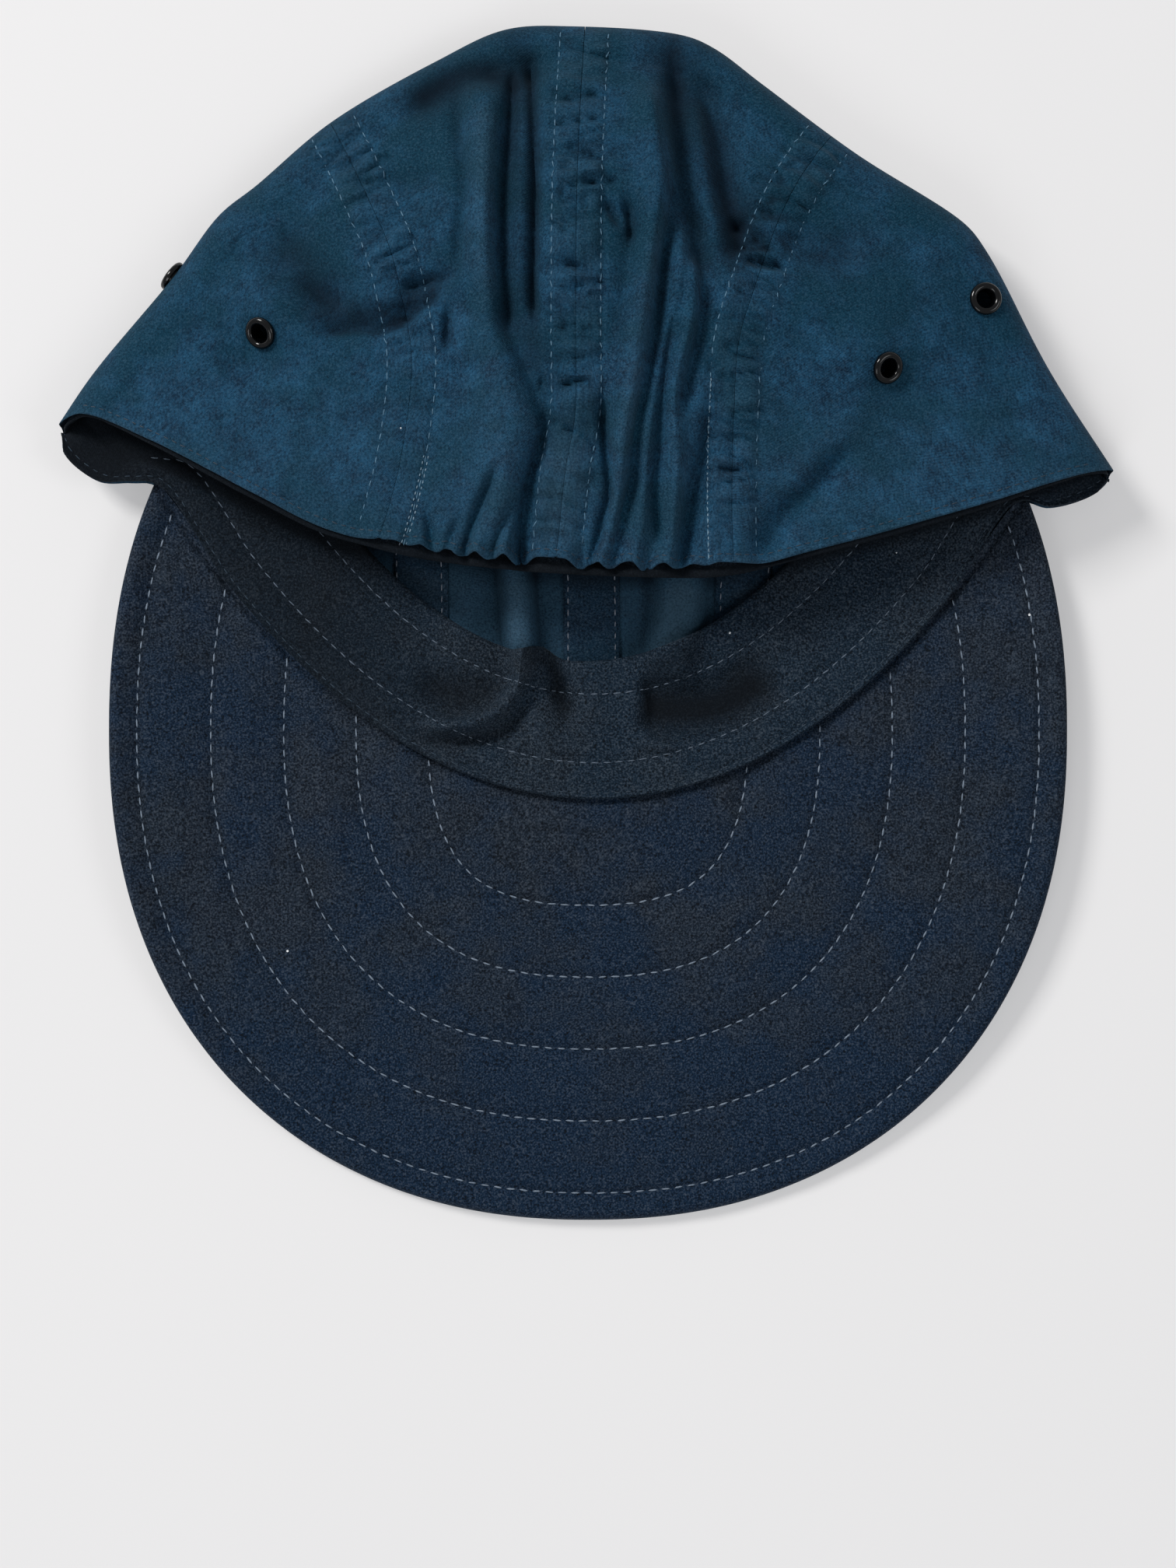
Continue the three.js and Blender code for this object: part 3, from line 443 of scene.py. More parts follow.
# Each tuck: how far it sinks, its half width, and the points that it passes
TUCKS = [
    (-0.8, 0.8, [(-6.3, 142.9), (-4.2, 143.2), (-1.9, 142.1)]),
    (-0.9, 0.8, [(-1, 144), (1, 144.3), (3.1, 143.8)]),
    (-0.5, 0.7, [(-7.1, 137.6), (-3.4, 138.1)]),
    (-0.5, 0.7, [(-0.2, 138.3), (2.8, 138.7)]),
    (-0.9, 0.8, [(-4.7, 131.6), (-3.1, 132.3), (-1.6, 131.6)]),
    (-1.4, 0.8, [(-2.3, 131.9), (0, 130.7), (2.9, 129.7)]),
    (-0.5, 0.7, [(-6.4, 127.5), (-3.4, 127.8)]),
    (-1.2, 0.9, [(-1.9, 125.7), (0.2, 124.9), (2.6, 124.4)]),
    (-1.1, 0.9, [(3.2, 125.2), (5.1, 124.9), (6.9, 125.3)]),
    (-0.9, 0.8, [(-6.7, 122.6), (-4.8, 121.7), (-2.2, 121.4)]),
    (-0.8, 1, [(-6.1, 114.1), (-4.5, 114.4), (-3.2, 113.9)]),
    (-0.6, 0.7, [(0.6, 102.6), (2.9, 101.7)]),
    (-1.2, 0.9, [(-6.1, 107), (-3.8, 106.9), (-1.3, 106.2), (2.2, 104.9)]),
    (-1.3, 0.9, [(-7.2, 93.5), (-4.2, 94.1), (-1.8, 94.1), (0.3, 92.9), (2.6, 91.8)]),
    (-1.9, 0.8, [(-7, 80.9), (-4.5, 82.3), (-1.8, 82.9), (0.5, 82.3), (2.4, 81)]),
    (-0.8, 0.7, [(-7.1, 72.4), (-2.2, 72.7)]),
    (-0.8, 0.6, [(-1.8, 75.4), (1, 73), (2.2, 72.4)]),
    (-0.9, 1.2, [(-10.6, 83), (-8, 82.6)]),
    (-3, 1.2, [(31.4, 110.6), (34.6, 109.2), (37.9, 108.2), (42.8, 107.7)]),
    (-1.6, 1.3, [(28.8, 117.8), (31.7, 117.1), (34.7, 117.6)]),
    (-1.4, 0.9, [(35.1, 121), (37.2, 120), (40.4, 119.1)]),
    (-1.1, 0.9, [(40.1, 129.4), (42.9, 130.1), (45.4, 129.1)]),
    (-1.4, 1.4, [(32.2, 114.9), (36, 113.5), (39.6, 110)]),
    (-0.8, 0.9, [(33.5, 126.3), (37.7, 127.3)]),
    (-1, 0.8, [(25.4, 71.1), (29.7, 71.2), (33.2, 72.9)]),
    (-1, 0.8, [(25.8, 65.5), (30, 65.3), (33.3, 66.9)]),
    (-0.9, 0.8, [(-47.2, 126.2), (-44.6, 127.4)]),
    (-0.8, 0.8, [(-45.2, 131.7), (-40.7, 131.8)]),
    (-0.8, 0.8, [(-48, 121.4), (-45.3, 122.6)]),
    (-0.8, 0.8, [(-40.7, 109.4), (-38.2, 110.1), (-35.9, 111.3)]),
    (-1.2, 1, [(-39.3, 102.7), (-36.8, 104.2), (-34.6, 104.5)]),
    (-0.9, 0.8, [(-37, 93.6), (-32.9, 93.6)]),
    (-0.7, 0.8, [(-40.2, 113.5), (-37.1, 114)]),
]
TUCK_STRENGTH = 1.5
tucks = as_folds([("tuck", rise * TUCK_STRENGTH, width, width, 2, path) for rise, width, path in TUCKS])

# Where each ruffle of the back hem lies, across the plan, and how strong it is
RUFFLES = [
    (-37.5, 0.5), (-31.9, 0.9), (-26.6, 1), (-20.8, 1.1), (-14.3, 1.3), (-1.4, 1.3), (4.4, 1.1), (12, 1.3),
    (18.4, 0.8), (24.5, 0.4),
]
RUFFLE_HALF_WIDTH, RUFFLE_SINK, RUFFLE_REACH, RUFFLE_DROP = 1.9, 2.2, 5, 1.5
RUFFLE_MEAN = 0.45
HEM_PULL = 1.3
ELASTIC_MIDDLE, ELASTIC_FULL, ELASTIC_END = -6, 32, 44
PUCKER_SEED, FINE_PUCKER_SEED = 20, 30
PUCKER_FADE = 8
PUCKER_BASE, PUCKER_FRONT = 0.25, 0.15
FINE_PUCKER_SHARE, PUCKER_SQUEEZE = 0.4, 0.3
PUCKER_RISE, PUCKER_MEAN, PUCKER_TONE_MEAN = 1.7, 0.6, 0.3
STRIP_INSIDE, STAND_OUTSIDE, STRIP_OUTSIDE = ROW_OFFSET - 0.6, ROW_OFFSET + 0.9, ROW_OFFSET + 1.6


def tape_relief(xy, sheet):
    """Stand, grooves and puckers of the three taped seams, and painted shade and light on the puckers."""
    height, tone = np.zeros(xy.shape[:-1]), np.zeros(xy.shape[:-1])
    for number, seam in enumerate(SEAMS):
        distance, along, side = seam[sheet].nearest(xy)
        height += TAPE_STAND * (1 - smooth_step(STRIP_INSIDE, STAND_OUTSIDE, distance))
        height -= ROW_GROOVE * bell(distance - ROW_OFFSET, ROW_GROOVE_WIDTH)
        height -= SEAM_GROOVE * bell(distance, SEAM_GROOVE_WIDTH)
        strip = 1 - smooth_step(STRIP_INSIDE, STRIP_OUTSIDE, distance)
        place = np.stack([along * seam[sheet].length, distance * side * PUCKER_SQUEEZE], -1)
        coarse = soft_noise(place, PUCKER_LENGTH, PUCKER_SEED + number)
        wave = coarse + FINE_PUCKER_SHARE * soft_noise(place, FINE_PUCKER_LENGTH, FINE_PUCKER_SEED + number)
        low, high, depth = PUCKER_SPANS[seam["name"]]
        y = xy[..., 1]
        where = smooth_step(low - PUCKER_FADE, low, y) * (1 - smooth_step(high, high + PUCKER_FADE, y))
        strength = mix(PUCKER_BASE, depth, where) if sheet == "back" else PUCKER_FRONT
        height += strength * (PUCKER_RISE * np.abs(wave) - PUCKER_MEAN) * strip
        # Painted shade in the creases of the puckers, and a little painted light between them
        tone += PUCKER_TONE * strength * (bell(wave, CREASE_SHARE) - PUCKER_TONE_MEAN) * strip
    return height, tone


# The stiff rings tilt the slack cloth round them: a place, and the slope there to the right and up the plan
EYELET_TILTS = [(-68.6, 94.8, 0.36, 0.6), (62.5, 87.1, -0.36, 0.4), (84, 102.6, 0.12, 0.1)]
TILT_REACH = 8


def eyelet_tilt(xy):
    height = 0
    for x, y, right, up in EYELET_TILTS:
        offset = xy - np.array([x, y])
        height = height + (offset @ np.array([right, up])) * bell(np.linalg.norm(offset, axis=-1), TILT_REACH)
    return height


def ruffle(x):
    """How strongly the elastic draws the hem in and down at each place, from 0 to about 1."""
    return sum(weight * bell(x - place, RUFFLE_HALF_WIDTH) for place, weight in RUFFLES)


def on_elastic(x):
    """1 along the stretch of hem that the elastic gathers, and 0 beyond it."""
    return 1 - smooth_step(ELASTIC_FULL, ELASTIC_END, np.abs(x - ELASTIC_MIDDLE))


def hem_shift(x):
    """How far the hem is drawn up the plan by the elastic, and let down again at each ruffle."""
    return HEM_PULL * on_elastic(x) - RUFFLE_DROP * ruffle(x)


# How strongly the back sheet's painted shade and painted light show in its colour
CROWN_TONE = 0.56
# The back sheet is paler low down: fully below the first height on the plan, not at all past the second
LOW_PALING, LOW_PALING_FULL, LOW_PALING_END = 0.16, 62, 96
# Painted light on ridge tops: its share low on the back sheet and near its top, and the heights between
RIDGE_LIGHT_LOW, RIDGE_LIGHT_HIGH, RIDGE_LIGHT_START, RIDGE_LIGHT_END = 0.5, 0.12, 85, 112
# The share of painted shade in the tucks' creases, and how far inside the outline the seams' relief grows
TUCK_TONE, SEWN_START = 0.5, 7
# The cloth is paler broadly along the gathered hem, and most on its very edge
HEM_PALING, HEM_PALING_REACH, PALING_MIDDLE, PALING_HALF = 0.14, 16, -4, 38
HEM_EDGE_PALING, HEM_EDGE_PALING_REACH = 0.4, 0.8
FOLD_START = 14  # millimetres inside the outline, where the folds have their whole height
PULL_REACH = 4

# The slack between the folds is hills of three sizes: each one's height, its size and the seed of its noise
SLACK_HILLS = [(0.5, 17, 3), (0.3, 7.5, 4), (0.1, 3.4, 6)]
FRONT_SLACK, FRONT_SLACK_SIZE, FRONT_SLACK_SEED = 0.35, 15, 5
FRONT_SLACK_EDGE, FRONT_FOLD_HEM = (10, 30), (5, 32)
# How strongly the front sheet's folds and its table paint shade and light into its colour
FRONT_FOLD_TONE, FRONT_SHADE_TONE = 0.4, 0.7


def back_height(xy):
    edge = OUTLINE.nearest(xy)[0]
    hem = BACK_HEM.nearest(xy)[0]
    folds, tone = relief(back_folds, xy)
    sewn, tuck_tone = relief(tucks, xy)
    open_cloth = smooth_step(0, FOLD_START, edge)
    soft = sum(hills(xy, *hill) for hill in SLACK_HILLS)
    top = back_base(xy, edge, hem) + (folds + soft) * open_cloth + sewn
    # Painted light on ridges is strong low on the back sheet and faint near its top
    above = smooth_step(RIDGE_LIGHT_START, RIDGE_LIGHT_END, xy[..., 1])
    tone = np.where(tone < 0, tone * mix(RIDGE_LIGHT_LOW, RIDGE_LIGHT_HIGH, above), tone)
    needle, pucker_tone = tape_relief(xy, "back")
    pale_hem = HEM_PALING * bell(hem, HEM_PALING_REACH) * bell(xy[..., 0] - PALING_MIDDLE, PALING_HALF)
    paled = pale_hem + HEM_EDGE_PALING * bell(hem, HEM_EDGE_PALING_REACH)
    # Painted shade in tucks and puckers, painted shade and light from the table, and paler cloth at the hem
    tone = np.clip(tone + TUCK_TONE * tuck_tone - paled, -1, 1) + pucker_tone + relief(back_shades, xy)[1]
    needle = needle * smooth_step(0, SEWN_START, edge)
    raised = RUFFLE_MEAN * on_elastic(xy[..., 0])
    gathers = RUFFLE_SINK * (raised - ruffle(xy[..., 0])) * bell(hem, RUFFLE_REACH) * open_cloth
    low_paling = LOW_PALING * (1 - smooth_step(LOW_PALING_FULL, LOW_PALING_END, xy[..., 1]))
    tone = np.clip(tone * CROWN_TONE - low_paling, -1, 1)
    return mix(FOLD_HEIGHT, top, shoulder(edge)) + needle + gathers + eyelet_tilt(xy), tone


def front_height(xy):
    edge = OUTLINE.nearest(xy)[0]
    hem = FRONT_HEM.nearest(xy)[0]
    lift = side_lift(xy[..., 0]) * bell(hem, LIFT_REACH) * smooth_step(0, LIFT_EDGE, edge)
    folds, tone = relief(front_folds, xy)
    slack = 1 + soft_noise(xy, FRONT_SLACK_SIZE, FRONT_SLACK_SEED)
    soft = FRONT_SLACK * slack * smooth_step(*FRONT_SLACK_EDGE, edge)
    flat = lift + (folds + soft) * smooth_step(*FRONT_FOLD_HEM, hem)
    tone = np.clip(FRONT_FOLD_TONE * tone + FRONT_SHADE_TONE * relief(front_shades, xy)[1], -1, 1)
    return mix(FOLD_HEIGHT, flat, shoulder(edge)), tone


# The dark strip on the cloth below lies a little further from the middle than the hem that shades it
HEM_SPREAD = 1.035
UNDER_SHADE, DEEP_SHADE_REACH, OPENING_SHADE = 0.9, 12, 0.95
SHADE_CORE, SHADE_END = 1.4, 5.5
CORNER_WIDENING, CORNER_WIDENING_REACH = 1.3, 26


def under_hem(xy):
    """How little light reaches the inside just below the back hem, from 0 to 1."""
    distance, along, side = BACK_HEM.nearest(xy / HEM_SPREAD)
    from_left_corner = along * BACK_HEM.length
    distance = distance / (1 + CORNER_WIDENING * bell(from_left_corner, CORNER_WIDENING_REACH))
    under_the_back = UNDER_SHADE * bell(distance, DEEP_SHADE_REACH)
    in_the_opening = OPENING_SHADE * (1 - smooth_step(SHADE_CORE, SHADE_END, distance))
    return np.where(side > 0, under_the_back, in_the_opening)


# %% [markdown]
# A grid that runs with the cloth
#
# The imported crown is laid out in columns, from the front hem over the fold to the back hem. Column -2 is the
# left hem corner, -1, 0 and 1 are the seams and 2 is the right corner, so a panel is simply a run of columns,
# and panels that share a seam share its curve. Rows crowd together on the fold, where the cloth turns most.

# %% Columns and rows of the crown


def spread(row):
    """The share of a column reached at each row: slow on the fold and even further out."""
    return row * row * (2 - row)


def knots_of(sheet):
    hem = BACK_HEM if sheet == "back" else FRONT_HEM
    ends = [hem.nearest(seam[sheet].at(1.0)[None])[1][0] for seam in SEAMS]
    return hem, np.array([0, *ends, 1])


fold_knots = np.array([0, *[OUTLINE.nearest(np.array([seam["fold"]], float))[1][0] for seam in SEAMS], 1])


def bow(line, share):
    """How far a seam lies from the straight line between its ends."""
    return line.at(share) - mix(line.at(0.0), line.at(1.0), share[..., None])


def plan_point(column, row, sheet):
    """Plan points at pairs of column and row, where row is 0 on the fold and 1 on that sheet's hem."""
    column, row = np.broadcast_arrays(column, row)
    index = np.clip(np.floor(column + 2).astype(int), 0, 3)
    between = column + 2 - index
    share = spread(row)
    hem, hem_knots = knots_of(sheet)
    start = OUTLINE.at(mix(fold_knots[index], fold_knots[index + 1], between))
    end = hem.at(mix(hem_knots[index], hem_knots[index + 1], between))
    point = mix(start, end, share[..., None])
    for number, seam in enumerate(SEAMS):
        near = np.maximum(0, 1 - np.abs(column - (number - 1)))
        point = point + bow(seam[sheet], share) * near[..., None]
    return point


def crown_point(column, row):
    """Points of the crown's outer face. Row is negative on the front sheet and positive on the back sheet."""
    column, row = np.broadcast_arrays(column, row)
    back = plan_point(column, np.abs(row), "back")
    front = plan_point(column, np.abs(row), "front")
    back_z, back_tone = back_height(back)
    front_z, front_tone = front_height(front)
    hem = BACK_HEM.nearest(back)[0]
    back[..., 1] += hem_shift(back[..., 0]) * bell(hem, PULL_REACH)
    on_back = row > 0
    plan = np.where(on_back[..., None], back, front)
    z = np.where(on_back, back_z, np.where(row < 0, front_z, FOLD_HEIGHT))
    return with_height(plan, z), np.where(on_back, back_tone, front_tone)


SLOPE_STEP = 0.3


def on_sheet(xy, sheet, depth=0.0):
    """Points at a depth under a sheet's outer face, and the outward directions there."""
    height = back_height if sheet == "back" else front_height
    east, north = np.array([SLOPE_STEP, 0]), np.array([0, SLOPE_STEP])
    slope_x = (height(xy + east)[0] - height(xy - east)[0]) / (2 * SLOPE_STEP)
    slope_y = (height(xy + north)[0] - height(xy - north)[0]) / (2 * SLOPE_STEP)
    upwards = unit(np.stack([-slope_x, -slope_y, np.ones(len(xy))], -1))
    outwards = upwards if sheet == "back" else -upwards
    points = with_height(xy, height(xy)[0])
    return points - outwards * depth, outwards


def grid_normals(grid, loops=False):
    """Outward normals of a grid of points, from the points on either side of each."""
    if loops:
        across = np.roll(grid, -1, 0) - np.roll(grid, 1, 0)
    else:
        across = np.concatenate([grid[1:], grid[-1:]]) - np.concatenate([grid[:1], grid[:-1]])
    along = np.concatenate([grid[:, 1:], grid[:, -1:]], 1) - np.concatenate([grid[:, :1], grid[:, :-1]], 1)
    normals = unit(np.cross(along, across))
    for column, neighbour in ((0, 1), (-1, -2)):
        if np.linalg.norm(grid[column, 0] - grid[column, -1]) < 0.01:
            normals[column] = unit(normals[neighbour].sum(0))
    return normals


# %% [markdown]
# Cloth with a thickness
#
# A render could use a single skin, but a cap's edges show that cloth is thick, and a closed wall is also what
# a printer or a simulator can use. One function turns any grid of points into a closed wall: an outer face,
# an inner face a thickness below, and a rounded edge between them. The grid's own millimetres become the UV
# map, so the weave lies on the cloth however it folds.

# %% The wall of cloth
BODY = "root"
SHARP_ANGLE = math.radians(65)


def border_of(columns, rows, loops):
    """The edge of a grid, as closed lists of (column, row) pairs."""
    if loops:
        return [[(i, 0) for i in range(columns)], [(i, rows - 1) for i in reversed(range(columns))]]
    bottom = [(i, 0) for i in range(columns)]
    right = [(columns - 1, j) for j in range(1, rows)]
    top = [(i, rows - 1) for i in reversed(range(columns - 1))]
    left = [(0, j) for j in reversed(range(1, rows - 1))]
    return [bottom + right + top + left]


def weave_map(grid):
    """Millimetres along the cloth: across the plan, and up each column from its middle row."""
    steps = np.linalg.norm(np.diff(grid, axis=1), axis=2)
    along = np.concatenate([np.zeros((len(grid), 1)), np.cumsum(steps, 1)], 1)
    middle = grid.shape[1] // 2
    return np.stack([grid[..., 0], along - along[:, middle : middle + 1]], -1)


def cloth_wall(name, outer, inner, material, loops=False, edge=0.35, tones=None, inner_tones=None,
               square_sides=False, stains=None):
    """A closed wall between two grids, with its edge rounded by that share of its thickness."""
    columns, rows = outer.shape[:2]
    number = np.arange(columns * rows).reshape(columns, rows)
    points = [outer.reshape(-1, 3), inner.reshape(-1, 3)]
    uv = [weave_map(outer).reshape(-1, 2)] * 2
    tone = [np.zeros(columns * rows) if tones is None else tones.reshape(-1)]
    tone.append(tone[0] if inner_tones is None else inner_tones.reshape(-1))
    stain = [np.zeros(columns * rows) if stains is None else stains.reshape(-1)] * 2
    reverse = [np.zeros(columns * rows), np.ones(columns * rows)]
    below = columns * rows
    i, j = np.meshgrid(np.arange(columns if loops else columns - 1), np.arange(rows - 1), indexing="ij")
    after = (i + 1) % columns
    quad = np.stack([number[i, j], number[after, j], number[after, j + 1], number[i, j + 1]], -1)
    quad = quad.reshape(-1, 4)
    faces = [*quad.tolist(), *(quad[:, ::-1] + below).tolist()]
    count = 2 * below
    for loop in border_of(columns, rows, loops):
        at = np.array(loop)
        inside_i = at[:, 0] if loops else np.clip(at[:, 0], 1, columns - 2)
        inside = outer[inside_i, np.clip(at[:, 1], 1, rows - 2)]
        rim, under = outer[at[:, 0], at[:, 1]], inner[at[:, 0], at[:, 1]]
        out = unit(rim - inside) * edge * np.linalg.norm(rim - under, axis=1, keepdims=True)
        pole = np.linalg.norm(outer[at[:, 0], 0] - outer[at[:, 0], -1], axis=1) < 0.01
        on_side = (at[:, 0] == 0) | (at[:, 0] == columns - 1)
        out[pole | (on_side & square_sides)] = 0
        points.append((rim + under) / 2 + out)
        uv.append(uv[0][number[at[:, 0], at[:, 1]]])
        tone.append(tone[0][number[at[:, 0], at[:, 1]]])
        stain.append(stain[0][number[at[:, 0], at[:, 1]]])
        reverse.append(np.full(len(at), 0.5))
        top = number[at[:, 0], at[:, 1]]
        middle = count + np.arange(len(at))
        for upper, lower in ((top, middle), (middle, top + below)):
            faces += np.stack([upper, lower, np.roll(lower, -1), np.roll(upper, -1)], -1).tolist()
        count += len(at)
    mesh = bpy.data.meshes.new(name)
    mesh.from_pydata(in_frame(np.concatenate(points)).tolist(), [], faces)
    layer = mesh.uv_layers.new(name="weave")
    corners = np.empty(len(mesh.loops), int)
    mesh.loops.foreach_get("vertex_index", corners)
    layer.uv.foreach_set("vector", np.concatenate(uv)[corners].astype(np.float32).ravel())
    for title, values in (("tone", tone), ("stain", stain), ("reverse", reverse)):
        shade = mesh.attributes.new(title, "FLOAT", "POINT")
        shade.data.foreach_set("value", np.concatenate(values).astype(np.float32))
    return finished(name, closed(mesh), material)


def closed(mesh):
    """Merges doubled points, drops the faces that this collapses, and turns all faces outwards."""
    work = bmesh.new()
    work.from_mesh(mesh)
    bmesh.ops.remove_doubles(work, verts=work.verts, dist=2e-6)
    bmesh.ops.dissolve_degenerate(work, dist=1e-7, edges=work.edges)
    bmesh.ops.recalc_face_normals(work, faces=work.faces)
    work.to_mesh(mesh)
    work.free()
    mesh.shade_smooth()
    mesh.set_sharp_from_angle(angle=SHARP_ANGLE)
    return mesh


def linked(name, data):
    thing = bpy.data.objects.new(name, data)
    bpy.context.scene.collection.objects.link(thing)
    return thing


def kept_mesh(thing):
    """What a thing's modifiers make of it, as a plain mesh."""
    ready = thing.evaluated_get(bpy.context.evaluated_depsgraph_get())
    return bpy.data.meshes.new_from_object(ready)


def finished(name, mesh, material):
    piece = linked(name, mesh)
    mesh.materials.clear()
    mesh.materials.append(material)
    return piece


def placed(piece, slot, *nodes):
    """The piece rides on the cap and stands for its CAD nodes, which are hidden; slot is not used."""
    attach(piece, BODY)
    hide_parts(*nodes)
    print(f"{piece.name}: {len(piece.data.polygons)} faces")
    return piece


# %% [markdown]
# Maths for materials
#
# A shader is a chain of small sums. Written as nodes by hand it is long, so a small class wraps a socket and
# gives it Python's own operators, and each operator adds the Math node that does it. Every other node comes
# from one method, which takes its type, its settings and the values or links of its sockets.

# %% A socket with operators, and a node tree with one method


class Socket:
    """A number in a node tree. Sums written with it add Math nodes."""

    def __init__(self, tree, socket):
        self.tree = tree
        self.socket = socket

    def maths(self, operation, first, second=0.0):
        return self.tree.add("ShaderNodeMath", {"operation": operation}, {0: first, 1: second})

    def __add__(self, other):
        return self.maths("ADD", self, other)

    def __radd__(self, other):
        return self.maths("ADD", other, self)

    def __sub__(self, other):
        return self.maths("SUBTRACT", self, other)

    def __rsub__(self, other):
        return self.maths("SUBTRACT", other, self)

    def __mul__(self, other):
        return self.maths("MULTIPLY", self, other)

    def __rmul__(self, other):
        return self.maths("MULTIPLY", other, self)

    def sine(self):
        return self.maths("SINE", self)

    def above(self, limit):
        return self.maths("GREATER_THAN", self, limit)


class Tree:
    """A node tree, filled by one method."""

    def __init__(self, tree):
        self.tree = tree

    def add(self, kind, settings=None, sockets=None, output=0):
        node = self.tree.nodes.new(kind)
        for name, value in (settings or {}).items():
            setattr(node, name, value)
        for name, value in (sockets or {}).items():
            self.plug(self.find(node.inputs, name), value)
        return Socket(self, self.find(node.outputs, output)) if node.outputs else None

    def find(self, sockets, name):
        if isinstance(name, int):
            return sockets[name]
        exact = [socket for socket in sockets if socket.identifier == name]
        return exact[0] if exact else sockets[name]

    def plug(self, target, value):
        if isinstance(value, Socket):
            self.tree.links.new(value.socket, target)
        else:
            target.default_value = value

    def part(self, socket, name):
        return Socket(self, socket.socket.node.outputs[name])


def new_material(name):
    material = bpy.data.materials.new(name)
    material.use_nodes = True
    material.node_tree.nodes.clear()
    return material, Tree(material.node_tree)


def colour_mix(tree, share, low, high):
    sockets = {"Factor_Float": share, "A_Color": low, "B_Color": high}
    return tree.add("ShaderNodeMix", {"data_type": "RGBA"}, sockets, "Result_Color")


def noise(tree, vector, scale, detail=2.0, rough=0.5):
    sockets = {"Vector": vector, "Scale": scale, "Detail": detail, "Roughness": rough}
    return tree.add("ShaderNodeTexNoise", None, sockets, "Fac")


def surfaced(tree, sockets):
    """Ends a material with its surface."""
    surface = tree.add("ShaderNodeBsdfPrincipled", None, sockets, "BSDF")
    tree.add("ShaderNodeOutputMaterial", None, {"Surface": surface})


def linear(red, green, blue):
    """A colour read off a screen, 0 to 255, as the light that it stands for."""
    scaled = [value / 255 for value in (red, green, blue)]
    light = [v / 12.92 if v <= 0.04045 else ((v + 0.055) / 1.055) ** 2.4 for v in scaled]
    return (*light, 1.0)


# %% [markdown]
# Cotton twill
#
# The crown is a fine blue cotton and the peak and sweatband a darker twill. Twill shows diagonal ribs, since
# each thread steps over two and under one. The ribs are a sine across the weave map, broken up by noise, and
# they tint the colour and raise the bump. Over them lie a heathered grain, broad patches where the dye took
# more or less, a soft crumple, light and dark flecks, and a few specks of lint. An image of cloth would be
# quicker, but it repeats and blurs. Three values stored on the mesh steer the material: tone paints shade
# into creases and hollows and light onto ridges, and makes the cloth paler low on the back and at its hem,
# stain adds dye, and reverse marks the duller wrong side.

# %% The cloth material
RIB_TURN = 2 * math.pi

# Noise sizes, in hills to the metre
DYE_SCALE, BLOTCH_SCALE, FLECK_SCALE, CRUMPLE_SCALE, CREASE_SCALE = 55.0, 210.0, 2300.0, 190.0, 620.0
LINT_SCALE, LINT_SPREAD, LINT_RADIUS, LINT_RARITY = 130.0, 93.0, 0.035, 0.7
LINT = (0.62, 0.64, 0.66, 1.0)
DEEP_SHARE, PATCH_MOST, WRONG_SIDE_MOST = 0.32, 0.85, 0.6
HEATHER_DEPTH, CREASE_DEPTH = 0.06, 0.12
CLOTH_GLOSS = 0.12

# On the weave map a millimetre is one unit: threads to the unit, and how far warp and weft are drawn out
THREAD_SCALE = 1.15
WARP_STRETCH, WEFT_STRETCH = (1.6, 0.55), (0.5, 1.7)
RIB_SLANT, RIB_WANDER = 0.9, 8.0
HEATHER_CONTRAST, RIB_CONTRAST, MIDDLE_SHADE = 2.4, 0.22, 0.45
# Dark flecks, and the most that tone mixes in painted shade, and in painted light and paler cloth
DARK_FLECKS, TONE_MOST, PALE_MOST = 3.2, 0.9, 0.6
SHEEN = {"Sheen Weight": 0.03, "Sheen Roughness": 0.5, "Sheen Tint": (0.4, 0.6, 0.8, 1.0)}


